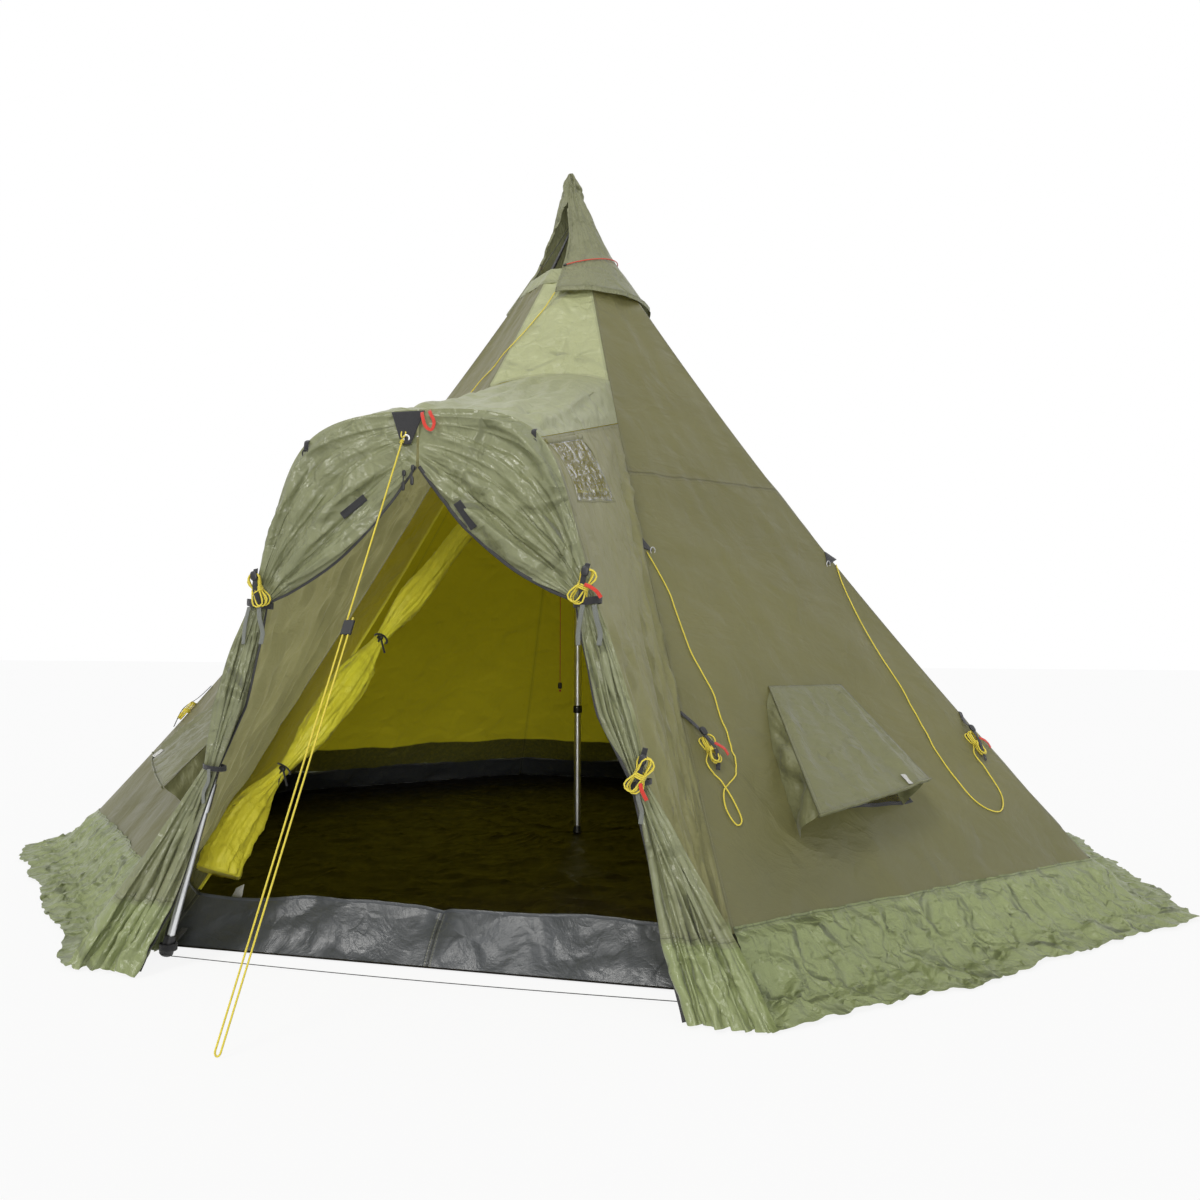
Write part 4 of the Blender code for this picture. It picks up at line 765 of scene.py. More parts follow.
def make_finish(name):
    """One finish by name. A row holds its maker and that maker's values; a woven cloth's are its tone, crumple,
    size, facet, glow, glow tone, roughness, sheen, patch and gloss."""
    tones = bpy.context.scene.tent_colours
    # The rolled door's colour is the inner tent's yellow made 1.3 times lighter: painted light for the light falling on
    # it through the doorway.
    skirt, rolled_painted_lit = tuple(tones.skirt), tuple(min(c * 1.3 + 0.02, 1.0) for c in tones.inner)
    maker, *values = {
        "olive_cloth": (woven_cloth, tones.wall, 0.0040, 5.0, 0.08, 0.22, OLIVE_GLOW, 0.42),
        "light_cloth": (woven_cloth, tones.porch, 0.0045, 6.5, 0.20, 0.18, LIGHT_GLOW, 0.34, 0.12, skirt),
        # The front panel's cloth is the porch cloth made 1.22 times lighter: painted light for the stronger light on
        # the front panel.
        "front_cloth": (woven_cloth, shade(tones.porch, 1.22), 0.0045, 6.5, 0.24, 0.18, LIGHT_GLOW, 0.34),
        "side_cloth": (woven_cloth, shade(tones.wall, 1.48), 0.0040, 6.0, 0.14, 0.20, OLIVE_GLOW, 0.38, 0.12, skirt),
        # The flaps' cloth is the porch cloth made darker, 0.67 times: painted shade for the shade on the hanging,
        # folded flaps.
        "flap_cloth": (woven_cloth, shade(tones.porch, 0.67), 0.0045, 6.5, 0.34, 0.12, (0.75, 0.76, 0.40), 0.22, 0.12,
                       skirt),
        "roll_cloth": (woven_cloth, rolled_painted_lit, 0.0050, 8.0, 0.12, 0.25, (1.0, 0.94, 0.14), 0.36),
        "hood_cloth": (woven_cloth, tones.hood, 0.0045, 8.0, 0.22, 0.14, None, 0.38),
        "cap_cloth": (woven_cloth, tones.cap, 0.0050, 10.0, 0.28, 0.14, None, 0.40),
        "skirt_cloth": (woven_cloth, tones.skirt, 0.0060, 9.0, 0.65, 0.04, None, 0.30, 0.03),
        "inner_cloth": (woven_cloth, tones.inner, 0.0060, 5.0, 0.12, 0.50, (0.93, 0.86, 0.05), 0.45, 0.12,
                        (0.055, 0.060, 0.022)),
        "floor_cloth": (woven_cloth, tones.floor, 0.0014, 3.0, 0.10, 0.0, None, 0.30, 0.0, None, 0.15),
        "tub_cloth": (woven_cloth, tones.tub, 0.0030, 6.0, 0.12, 0.0, None, 0.30, 0.0),
        "net": (net_finish, (0.020, 0.021, 0.016)),
        "window_film": (film_finish, (0.85, 0.87, 0.86)),
        "pole_metal": (metal_finish, (0.76, 0.77, 0.78)),
        "steel": (metal_finish, (0.60, 0.60, 0.60)),
        "black_plastic": (plastic_finish, (0.014, 0.014, 0.015)),
        "webbing": (webbing_finish, (0.014, 0.014, 0.016)),
        "grey_webbing": (webbing_finish, (0.16, 0.17, 0.15)),
        "red_webbing": (webbing_finish, (0.62, 0.040, 0.022)),
        "label_cloth": (webbing_finish, (0.58, 0.58, 0.55)),
        "yellow_cord": (braid_finish, tones.cord, (0.95, 0.90, 0.45)),
        "red_cord": (braid_finish, (0.72, 0.050, 0.025), (0.85, 0.20, 0.12)),
        "black_cord": (braid_finish, (0.030, 0.030, 0.032), (0.12, 0.12, 0.12)),
        "zip_tape": (zip_finish, (0.012, 0.012, 0.012)),
        "stage_floor": (stage_finish, (0.90, 0.90, 0.90)),
    }[name]
    return maker(name, *values)


def finished(name):
    return bpy.data.materials.get(name + "_finish") or make_finish(name)


def piece(item, body="shelter"):
    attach(item, body)
    return item


def sheet(item, nodes, body="shelter"):
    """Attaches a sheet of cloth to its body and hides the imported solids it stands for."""
    piece(item, body)
    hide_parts(*nodes)
    return item


# Cords
def hank_frame(along, normal):
    along, normal = unit(np.asarray(along, float)), unit(np.asarray(normal, float))
    return along, unit(np.cross(normal, along)), normal


def hank_path(centre, along, normal):
    """Loops with round ends, drawn in at the waist, stacked a pitch apart away from what they lie on."""
    along, sideways, normal = hank_frame(along, normal)
    turn = np.linspace(0, math.pi, 5)
    straight = HANK_HALF_LENGTH - HANK_HALF_WIDTH
    far = np.stack([straight + HANK_HALF_WIDTH * np.sin(turn), HANK_HALF_WIDTH * np.cos(turn)], -1)
    loop = np.concatenate([far, [[0, -HANK_WAIST]], -far, [[0, HANK_WAIST]]])
    flat = np.concatenate([loop[-1:], np.tile(loop, (HANK_LOOPS, 1))])
    fan = np.interp(np.arange(len(flat)), np.arange(HANK_LOOPS) * len(loop) + len(loop) / 2,
                    np.resize((0.26, -0.20, 0.10, -0.30), HANK_LOOPS))
    flat = np.stack([flat[:, 0] * np.cos(fan) - flat[:, 1] * np.sin(fan),
                     flat[:, 0] * np.sin(fan) + flat[:, 1] * np.cos(fan)], -1)
    rise = np.arange(len(flat)) * (HANK_PITCH / len(loop))
    coarse = np.asarray(centre, float) + flat[:, :1] * along + flat[:, 1:] * sideways + rise[:, None] * normal
    return smooth_path(coarse, 22 * HANK_LOOPS + 1)


def hank_waist(name, centre, along, normal):
    """The last of the cord, wound three times round the hank's waist."""
    along, sideways, normal = hank_frame(along, normal)
    turn = np.linspace(0, 6 * math.pi, 66)[:, None]
    deep = HANK_PITCH * (HANK_LOOPS - 0.5) / 2
    middle = np.asarray(centre, float) + normal * deep
    ring = (middle + sideways * (HANK_WAIST + 2.2 * GUY) * np.cos(turn) + normal * (deep + 2.1 * GUY) * np.sin(turn)
            + along * (turn / (6 * math.pi) - 0.5) * 0.0125)
    return cord_tube(name, ring, GUY * 0.95, along, "yellow_cord")


def lay_cord(name, path, radius, reference, finish, extra=(), body="shelter"):
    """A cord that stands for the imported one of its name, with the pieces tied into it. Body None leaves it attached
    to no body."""
    item = cord_tube(name, path, radius, reference, finish)
    if body:
        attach(item, body)
    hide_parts(name)
    for other in extra:
        if other.parent is None:
            piece(other, body)
    return item


def left_ridge():
    """Where the strap and hank lie on the left ridge, and the way out from it."""
    angle = math.radians(LEFT_RIDGE)
    return ridge_at(LEFT_RIDGE, 0.51), unit(np.array([math.sin(angle), -math.cos(angle), 0.55]))


def off_patch(z):
    """How far forward the back of the guy line's webbing patch lies at a height."""
    return PORCH_Y - HEM / 2 - 0.0041 - PATCH_LEAN * (PATCH_TOP - z)


def make_cords():
    """Bridles and hanks on the walls, the cap's line, the front guy, the foot cord and the hanging cord."""
    off = GUY + 0.0016
    up_wall = wall_at(45, 0, 0.6, lifted=False) - wall_at(45, 0, 0.4, lifted=False)
    for name, route, (side, z), length in (("front_right_bridle", FRONT_RIGHT_BRIDLE, FRONT_RIGHT_HANK, 2.00),
                                           ("right_bridle", RIGHT_BRIDLE, RIGHT_HANK, 2.08)):
        flat = smooth_path(route, 150)
        lead = wall_at(45, flat[:, 0], flat[:, 1], off)
        centre = wall_at(45, side, z, off)
        wound = hank_path(centre, up_wall, wall_normal(45, z))
        join = smooth_path([lead[-6], lead[-2], wound[0], wound[4]], 14)[4:-4]
        path = even_path(np.concatenate([lead[:-3], join, wound[1:]]), 330)
        waist = hank_waist(name + "_waist", centre, up_wall, wall_normal(45, z))
        lay_cord(name, path, GUY, wall_normal(45, 0.6), "yellow_cord", [waist])

    ridge, out = left_ridge()
    down = ridge_at(LEFT_RIDGE, 0.60) - ridge_at(LEFT_RIDGE, 0.42)
    front = PORCH_Y - HEM / 2 - 0.0024
    hanks = [("hank_left", ridge + out * 0.0019, down, out)]
    for name, hand, (x, z), forward in (("hank_right_leg", 1, LEG_HANK, 0.0079),
                                        ("hank_left_leg", -1, LEG_HANK, 0.0064),
                                        ("hank_right_flap", 1, FLAP_HANK, 0.0125)):
        hanks.append((name, np.array([hand * x, front - forward, z]), (hand * 0.45, 0, 0.9), (0, -1, 0)))
    for name, centre, along, normal in hanks:
        path = hank_path(centre, along, normal)
        waist = hank_waist(name + "_waist", centre, along, normal)
        lay_cord(name, path, GUY, normal, "yellow_cord", [waist])

    start = CAP_START - math.radians(0.48)
    radius = ridge_radius(CAP_FOOT + 0.012) + CAP_CLEAR + 0.0015
    spans = [np.array([[radius * math.sin(start), -radius * math.cos(start), CAP_FOOT + 0.012]])]
    for face, count in ((0, 24), (-45, 100)):
        flat = smooth_path([stop[1:] for stop in CAP_LINE_ROUTE if stop[0] == face], count)
        spans.append(wall_at(face, flat[:, 0], flat[:, 1], off + 0.001 + flat[:, 2]))
    path = even_path(np.concatenate(spans), 180)
    path[2:-2] = (path[:-4] + path[1:-3] + path[2:-2] + path[3:-1] + path[4:]) / 5
    line = lay_cord("cap_line", path, GUY, wall_normal(-22, 1.8), "yellow_cord", body=None)
    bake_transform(line)

    eyelet = np.array([EYELET[0], off_patch(EYELET[1]) - 0.0075, EYELET[1]])
    ground = np.array([*GUY_GROUND, 0.003])
    run = unit(ground - eyelet)
    sideways = unit(np.cross(run, (0, 0, 1)))
    centre = ground - run * GUY_LOOP
    turn = np.linspace(0, math.pi, 13)[:, None]
    loop = centre + sideways * GUY_LOOP * np.cos(turn) + run * GUY_LOOP * np.sin(turn)
    strand_foot = centre + sideways * GUY_LOOP
    head = strand_foot - run * np.linalg.norm(centre - eyelet)
    span = np.linalg.norm(strand_foot - head)
    back = loop[-1] - run * (span * (1 - SLIDER_AT) + SLIDER_LENGTH / 2 + 0.006)
    share = steps(40)[:, None]
    path = np.concatenate([lerp(head, strand_foot, share)[:-1], loop, lerp(loop[-1], back, share)[1:]])
    turn = np.linspace(0, TAU, 25, endpoint=False)[:, None]
    noose = (head + (0.0, 0.003, 0.012) + np.array([0.0054, 0, 0]) * np.cos(turn)
             + np.array([0, 0.004725, 0.0105]) * np.sin(turn))
    noose = np.concatenate([noose, noose[:1]])
    knot_turn = np.linspace(0, 4 * math.pi, 40)[:, None]
    knot = (head + run * (0.004 + 0.009 * knot_turn / (4 * math.pi))
            + 0.0032 * (sideways * np.cos(knot_turn) + np.cross(run, sideways) * np.sin(knot_turn)))
    ties = [cord_tube("front_guy_noose", noose, GUY * 0.9, (1, 0, 0), "yellow_cord"),
            cord_tube("front_guy_knot", knot, GUY * 0.85, run, "yellow_cord")]
    lay_cord("front_guy_line", path, GUY, sideways, "yellow_cord", ties)

    foot = np.array([leg_half(0.010), PORCH_Y - FOOT_RADIUS - 0.0013, 0.010])
    share = steps(40)
    path = stack(lerp(-foot[0], foot[0], share), foot[1], 0.010 - 0.006 * np.sin(math.pi * share))
    lay_cord("foot_cord", path, 0.001, (0, 0, 1), "black_cord")

    share = steps(60)
    path = stack(HANG_AT[0] + 0.0006 * np.sin(share * 9), HANG_AT[1] + 0.0006 * np.sin(share * 7),
                 lerp(HANG_HEAD, HANG_FOOT, share))
    turn = np.linspace(0, 4 * math.pi, 44)
    knot = stack(HANG_AT[0] + 0.0030 * np.cos(turn), 0.0030 * np.sin(turn), HANG_FOOT + 0.0005 - 0.0060 * turn / 12.6)
    knot = cord_tube("hanging_cord_knot", knot, 0.0015, (0, 0, 1), "red_cord")
    lay_cord("hanging_cord", path, 0.0015, (0, 1, 0), "red_cord", [knot])


# Outer walls
FACES = EIGHT_FACES[1:]
WALL_NAMES = ("front_right", "right", "back_right", "back", "back_left", "left", "front_left")
SEAM_STRIP, SKIRT_WALL = 0.007, 1.46


def wall_shares(face, z):
    """Columns of a wall as shares of its half width: narrow strips at the ridges, and on the vented walls two
    columns that run down the sides of the hole."""
    half = face_distance(z) * TAN
    level = np.clip(z, VENT_FOOT, VENT_TOP)
    low, high = np.full_like(z, -1 / 3), np.full_like(z, 1 / 3)
    if abs(face) == 45:
        hole = lerp(VENT_HALF_FOOT, VENT_HALF_TOP, (level - VENT_FOOT) / (VENT_TOP - VENT_FOOT))
        centre = -math.copysign(VENT_SHIFT, face)
        low, high = [(centre + k * hole) / (face_distance(level) * TAN) for k in (-1, 1)]
    edge = 1 - SEAM_STRIP / half
    part = steps(14)
    spans = [lerp(a[:, None], b[:, None], s) for a, b, s in
             ((-edge, low, part[:-1]), (low, high, part), (high, edge, part[1:]))]
    one = np.ones((len(z), 1))
    return np.concatenate([-one, *spans, one], 1)


def make_walls():
    """Seven olive walls as one sewn cloth, the light front panel over the porch, and the band round the crown."""
    z = np.unique(np.concatenate([np.linspace(PANEL_TOP, VENT_TOP, 60), np.linspace(VENT_TOP, VENT_FOOT, 14),
                                  np.linspace(VENT_FOOT, PANEL_FOOT, 12),
                                  WALL_SEAM + np.array([-0.012, -0.004, 0, 0.004, 0.012])]))[::-1]
    z = z[np.concatenate([[True], np.diff(z) < -1e-6])]
    grids, seams, runs, keeps = [], [], [], []
    for face in FACES:
        share = wall_shares(face, z)
        half = (face_distance(z) * TAN)[:, None]
        level = z[:, None] + 0 * share
        points = wall_at(face, share * half, level)
        ridge, join = (1 - np.abs(share)) * half, np.abs(level - WALL_SEAM)
        keep = np.ones((len(z) - 1, share.shape[1] - 1), bool)
        if abs(face) == 45:
            rows = (z[:-1] <= VENT_TOP + 1e-6) & (z[1:] >= VENT_FOOT - 1e-6)
            keep[np.ix_(rows, np.arange(14, 27))] = False
        first = 1 if grids else 0
        grids.append(points[:, first:])
        seams.append(np.minimum(ridge, join)[:, first:])
        runs.append(np.where(ridge < join, level, share * half)[:, first:])
        keeps.append(keep)
    canopy = surface("canopy", np.concatenate(grids, 1), "olive_cloth", keep=np.concatenate(keeps, 1),
                     layers={"seam": np.concatenate(seams, 1), "run": np.concatenate(runs, 1)})
    sheet(canopy, ["wall_" + where for where in WALL_NAMES])

    share = np.linspace(-1, 1, 45)[None]
    down = steps(34)[:, None]
    level = lerp(PANEL_TOP, SEAM_SIDE + SEAM_RISE * (1 - share ** 2), down)
    half = face_distance(level) * TAN
    points = wall_at(0, share * half, level)
    seam = np.minimum((1 - np.abs(share)) * half, (1 - down) * 0.5)
    # The front panel takes a lighter copy of the porch cloth: painted light.
    front = surface("front_panel", points, "front_cloth", layers={"seam": seam, "run": level, "foot": 0 * level})
    sheet(front, ["front_panel"])

    profile = ((2.2355, 0.0010), (2.2450, 0.0014), (2.262, 0.0020), (2.284, 0.0022), (2.302, 0.0022),
               (2.3090, 0.0020), (2.3112, 0.0006), (2.3100, -0.0010), (2.3020, -0.0014), (2.2900, -0.0012))
    level, off = np.array(profile).T[:, :, None]
    share = np.linspace(-1, 1, 13)[None, :-1]
    grids = []
    for face in EIGHT_FACES:
        across = share * face_distance(level) * TAN
        gather = 0.0007 * np.sin(across * TAU / 0.024) * (1 - share ** 6)
        grids.append(wall_at(face, across, level + 0 * across, off + gather, lifted=False))
    band = np.concatenate(grids, 1)
    seam = np.abs(level - 2.2385) + 0 * band[..., 0]
    crown = surface("crown_band", band, "light_cloth", wrap=True,
                    layers={"seam": seam, "run": metres(band)[..., 0], "foot": 0 * seam})
    sheet(crown, ["crown_collar"])


def make_skirts():
    """Two strips of thinner, heavily crumpled cloth sewn to the walls' feet, hanging and then lying on the ground
    in folds that run outwards. Height over the smooth strip is gathers, folds and fine crumples added."""
    distance, height = face_distance(0), PANEL_FOOT + 0.012
    profile = smooth_path([(face_distance(height) + 0.0036, height), (face_distance(0.065) + 0.006, 0.065),
                           (distance + 0.014, 0.014), (distance + 0.045, 0.002), (distance + 0.090, 0.001),
                           (distance + 0.135, 0.001)], 52)
    along = np.concatenate([[0], np.cumsum(np.linalg.norm(np.diff(profile, axis=0), axis=1))])
    run = unit(np.gradient(profile, axis=0))
    for where, faces, seed in (("right", (45, 90, 135, 180), 11), ("left", (-135, -90, -45), 31)):
        grids, notes = [], []
        loose = bpy.context.scene.tent_sizes.skirt_folds
        for k, face in enumerate(faces):
            out, side = axes(face)
            share = np.linspace(-1, 1, 150)[None, :]
            s = (k + (share + 1) / 2) * SKIRT_WALL + 0 * along[:, None]
            q = along[:, None] + 0 * share
            lying, hanging = ease(0.13, 0.20, q), ease(0.004, 0.05, q)
            fold = crumple(s, q * 0.8, seed, 0.30, 0.10)
            ridge = creases(s, q * 0.5, seed + 2, 0.24, 0.09, 0.6)
            small = crumple(s, q, seed + 3, 0.095, 0.032)
            rim = 1 - 0.55 * ease(0.24, 0.30, q)
            rise = hanging * (0.003 + 0.020 * (0.6 * fold + 0.6 * ridge) * (1 - lying)) * loose
            rise = rise + lying * rim * loose * (0.026 * fold + 0.020 * ridge - 0.004)
            rise = np.maximum(rise + hanging * rim * 0.015 * (small - 0.5) * loose, 0.0004)
            reach = lying * (0.012 * waves(s, 0 * s, seed + 7, 5, 0.7, 0.20)
                             + 0.003 * waves(s, 0 * s, seed + 6, 3, 0.1, 0.05))
            at_end = (k == 0) * ease(-0.9, -1.0, share) + (k == len(faces) - 1) * ease(0.9, 1.0, share)
            lateral = share * profile[:, :1] * TAN - at_end * 0.006 * np.sign(share)
            lateral = lateral + lying * 0.004 * waves(s, q, seed + 8, 4, 0.3, 0.10)
            ahead = profile[:, :1] + run[:, 1:] * -rise + reach * ease(0.16, 0.30, q)
            up = np.maximum(profile[:, 1:] + run[:, :1] * rise, 0.0008)
            puck = wall_lift(face, share * face_distance(height) * TAN, np.full_like(share, height))
            ahead = ahead + (1 - hanging) * puck
            grids.append(out * ahead[..., None] + side * lateral[..., None] + stack(0, 0, up))
            notes.append(np.abs(q - 0.005))
        for first, second in zip(grids, grids[1:]):
            first[:, -1] = second[:, 0] = (first[:, -1] + second[:, 0]) / 2
        points = np.concatenate([grids[0]] + [g[:, 1:] for g in grids[1:]], 1)
        seam = np.concatenate([notes[0]] + [g[:, 1:] for g in notes[1:]], 1)
        strip = surface("skirt_" + where, points, "skirt_cloth", layers={"seam": seam, "run": metres(points)[..., 0]})
        sheet(strip, ["skirt_" + where])


# Porch
CORNER_SHARE, HEM_SHARE = 0.78, 0.1
PORCH_BAND, FLAP_BAND, BAND_FADE = 0.150, 0.160, 0.006


def arch_hem(t, hand):
    """The front and back edge of the porch cloth's hem over the arch."""
    return [arch_off(t, cloth_out(t), PORCH_Y + way * HEM / 2, hand) for way in (-1, 1)]


def roof_grid(across, v):
    """Porch roof: level over the hem, then straight to the back seam with a little slack."""
    hand = np.where(across >= 0, 1.0, -1.0)
    reach = np.abs(across)
    t = reach * ROOF_EDGE
    edge, inner = arch_hem(t, hand)
    share = np.minimum(reach / CORNER_SHARE, 1)
    level = SEAM_SIDE + SEAM_RISE * (1 - share ** 2)
    near = wall_at(0, hand * share * face_distance(level) * TAN, level, lifted=False)
    level = lerp(SEAM_SIDE, ROOF_CORNER, np.clip((reach - CORNER_SHARE) / (1 - CORNER_SHARE), 0, 1))
    radius = ridge_radius(level)
    far = stack(hand * radius * math.sin(HALF_FACE), -radius * math.cos(HALF_FACE), level)
    back = np.where((reach <= CORNER_SHARE)[..., None], near, far) + np.array([0, -0.0008, 0])
    hem = lerp(edge, inner, np.minimum(v / HEM_SHARE, 1)[..., None])
    share = np.clip((v - HEM_SHARE) / (1 - HEM_SHARE), 0, 1)[..., None]
    rest = lerp(inner, back, share)
    rest[..., 2] -= (ROOF_SAG * (1 - across ** 2) * 4 * share[..., 0] * (1 - share[..., 0]))
    return np.where((v <= HEM_SHARE)[..., None], hem, rest)


def side_grid(hand, a, d):
    """Side of the porch, from the arch's leg (a 0) to the front ridge (a 1), top (d 0) to foot (d 1)."""
    d = d ** 1.5
    t = lerp(ROOF_EDGE + 0.0015, leg_share(0.008), d)
    z = lerp(ROOF_CORNER - 0.003, 0.008, d)
    edge, inner = arch_hem(t, hand)
    radius = ridge_radius(z)
    back = stack(hand * radius * math.sin(HALF_FACE), -radius * math.cos(HALF_FACE) + 0.0002, z)
    hem = lerp(edge, inner, np.minimum(a / HEM_SHARE, 1)[..., None])
    rest = lerp(inner, back, np.clip((a - HEM_SHARE) / (1 - HEM_SHARE), 0, 1)[..., None])
    return np.where((a <= HEM_SHARE)[..., None], hem, rest)


def make_porch():
    """Porch roof, its two sides, and the window in the right one with its film, binding and blind's header."""
    v = np.concatenate([np.linspace(0, HEM_SHARE, 8), np.linspace(HEM_SHARE, 1, 56)[1:]])
    across, v = np.broadcast_arrays(np.linspace(-1, 1, 121)[None, :], v[:, None])
    flat = roof_grid(across, v)
    along, deep = np.moveaxis(metres(flat), -1, 0)
    back = 1 - ease(0.86, 1.0, v)
    calm = back * (1 - ease(0.9, 1.0, np.abs(across)))
    ruche = 0.0019 * (1 + np.sin(along * TAU / 0.021 + 1.6 * waves(along, deep, 3, 4, 0.2, 0.05)))
    ruche = ruche * ease(0.0, 0.02, v) * np.exp(-v / 0.10) * (1 - ease(0.95, 1.0, np.abs(across)))
    pull = 0.0060 * waves(along, deep * 0.35, 5, 7, 0.34, 0.06, 0.6) + 0.0030 * waves(along, deep, 6, 6, 0.30, 0.07)
    pull = pull + 0.007 * tension(along, deep, [(along.max() * k, deep.max() * m, 0.25, 8) for k, m in
                                                ((0.02, 0.05), (0.98, 0.05), (0.05, 1), (0.95, 1), (0.5, 0.0))])
    points = raised(flat, -(0.0014 + calm * pull * ease(0.10, 0.28, v) + ruche))
    seam = np.minimum(np.abs(deep - HEM), deep.max() - deep)
    roof = surface("porch_roof", points, "light_cloth", flip=True,
                   layers={"seam": seam, "run": along, "foot": 0 * seam})
    sheet(roof, ["porch_roof"])

    d = np.concatenate([np.linspace(0, WINDOW_DOWN[0], 9), np.linspace(*WINDOW_DOWN, 26)[1:],
                        np.linspace(WINDOW_DOWN[1], 1, 80)[1:]])
    level = np.clip((d - WINDOW_DOWN[0]) / (WINDOW_DOWN[1] - WINDOW_DOWN[0]), 0, 1)
    near, far = lerp(WINDOW_TOP[0], WINDOW_LOW[0], level), lerp(WINDOW_TOP[1], WINDOW_LOW[1], level)
    zero = np.zeros_like(d)
    spans = [lerp(a[:, None], b[:, None], steps(n)[1:]) for a, b, n in
             ((zero, zero + HEM_SHARE, 7), (zero + HEM_SHARE, near, 5), (near, far, 20), (far, zero + 1, 34))]
    a = np.concatenate([zero[:, None], *spans], 1)
    d = d[:, None] + 0 * a
    for hand, where in HANDS:
        flat = side_grid(hand, a, d)
        z = flat[..., 2]
        along, deep = np.moveaxis(metres(flat), -1, 0)
        calm = ease(0.0, 0.25, a) * (1 - ease(0.93, 1.0, a)) * ease(0, 0.05, d)
        fold = creases(a * 1.4, z * 0.22, 51 + hand, 0.55, 0.14, 0.30)
        folds = 0.028 * (fold - 0.35) + 0.0040 * waves(a * 1.2, z, 57 + hand, 6, 0.30, 0.06)
        low = ease(0.17, 0.06, z) * (0.020 * crumple(along, z, 61 + hand, 0.10, 0.03) - 0.004)
        window = (hand > 0) * ease(0.45, 0.30, np.abs(d - 0.21)) * ease(0.55, 0.35, np.abs(a - 0.34)) * 0.85
        lift = calm * (folds * (1 - window) * ease(0.0, 0.35, d) + 0.0016 * waves(a, z, 63, 5, 0.25, 0.08))
        points = raised(flat, hand * (0.0015 + lift + low * (1 - ease(0.93, 1.0, a))))
        points[..., 2] = np.maximum(points[..., 2], 0.0015)
        foot = np.clip((PORCH_BAND + 0.002 - z) / BAND_FADE, 0, 1)
        seam = np.min([np.abs(along - HEM), along.max() - along, np.abs(z - PORCH_BAND), deep], axis=0)
        keep = np.ones((a.shape[0] - 1, a.shape[1] - 1), bool)
        top, foot_row, near, far = 8, 33, 10, 29
        if hand > 0:
            keep[top:foot_row, near:far] = False
        wall = surface("porch_side_" + where, points, "side_cloth", keep=keep, flip=hand < 0,
                       layers={"seam": seam, "run": deep, "foot": foot})
        sheet(wall, ["porch_side_" + where])
        if hand < 0:
            continue
        rim = np.concatenate([points[top, near:far], points[top:foot_row, far], points[foot_row, far:near:-1],
                              points[foot_row:top:-1, near]])
        outward = (1.0, -0.25, 0.35)
        piece(strand("window_binding", rim, 0.0050, 0.0011, outward, "side_cloth", 10, 0.6))
        header = (points[7, 9:31] + raised(points[5:9, 9:31], np.full((4, 22), 0.004))[2]) / 2
        piece(strand("window_header", header, 0.0065, 0.0026, outward, "side_cloth", 14, 0.8))
        a_film, d_film = shares(34, 44)
        at = lerp(lerp(WINDOW_TOP[0], WINDOW_LOW[0], d_film), lerp(WINDOW_TOP[1], WINDOW_LOW[1], d_film), a_film)
        film = side_grid(1, at, lerp(*WINDOW_DOWN, d_film))
        edge = np.minimum(np.minimum(a_film, 1 - a_film) * 0.2, np.minimum(d_film, 1 - d_film) * 0.3)
        crinkle = creases(at * 0.7, film[..., 2], 71, 0.12, 0.03)
        film = raised(film, 0.0014 + ease(0, 0.03, edge) * (0.0075 * (crinkle - 0.4)))
        pane = surface("window_film", film, "window_film", layers={"seam": edge})
        sheet(pane, ["window_pane"])


def flap_grid(hand, a, d):
    """Door flap, a from its outer edge to its free edge, d from the arch's top to the ground. Above the tie it
    spans from the arch to its free edge in four folds; below it hangs from the tie, four folds, spreading."""
    base = PORCH_Y - HEM / 2 - 0.0004
    share = np.minimum(d / 0.5, 1)
    t = lerp(0.001, leg_share(TIE_HEIGHT), share)
    high_outer = arch_off(t, cloth_out(t) + 0.0050, base)
    places = steps(len(FREE_EDGE))
    smooth = smooth_path([(p, *e) for p, e in zip(places, FREE_EDGE)], 60)
    high_inner = stack(np.interp(share, smooth[:, 0], smooth[:, 1]), base, np.interp(share, smooth[:, 0], smooth[:, 2]))
    high_depth = 0.022 * np.sin(math.pi * share) ** 1.2 + 0.0015
    z = lerp(TIE_HEIGHT, LOW_HEIGHTS[0], np.clip((d - 0.5) / 0.5, 0, 1))
    low_outer = stack(leg_half(z) + np.interp(z, LOW_HEIGHTS, LOW_OUTER), base, z)
    low_inner = stack(leg_half(z) - np.interp(z, LOW_HEIGHTS, LOW_INNER), base, z)
    forward = np.interp(z, LOW_HEIGHTS, LOW_FORWARD)
    upper = (d <= 0.5)[..., None]
    outer, inner = np.where(upper, high_outer, low_outer), np.where(upper, high_inner, low_inner)
    depth = np.where(upper[..., 0], high_depth, 0.13 * (low_outer[..., 0] - low_inner[..., 0]))
    spot = lerp(outer, inner, a[..., None])
    swing = a + 0.050 * np.sin(math.pi * a) * np.sin(TAU * (0.9 * d + 0.8 * a) + hand)
    uneven = 0.95 + 0.30 * np.sin(TAU * (1.3 * a - 0.7 * d) + 2 * hand)
    spot[..., 1] -= np.where(upper[..., 0], 0, forward) + depth * uneven * (0.5 - 0.5 * np.cos(TAU * 4 * swing))
    return spot * np.array([hand, 1, 1])


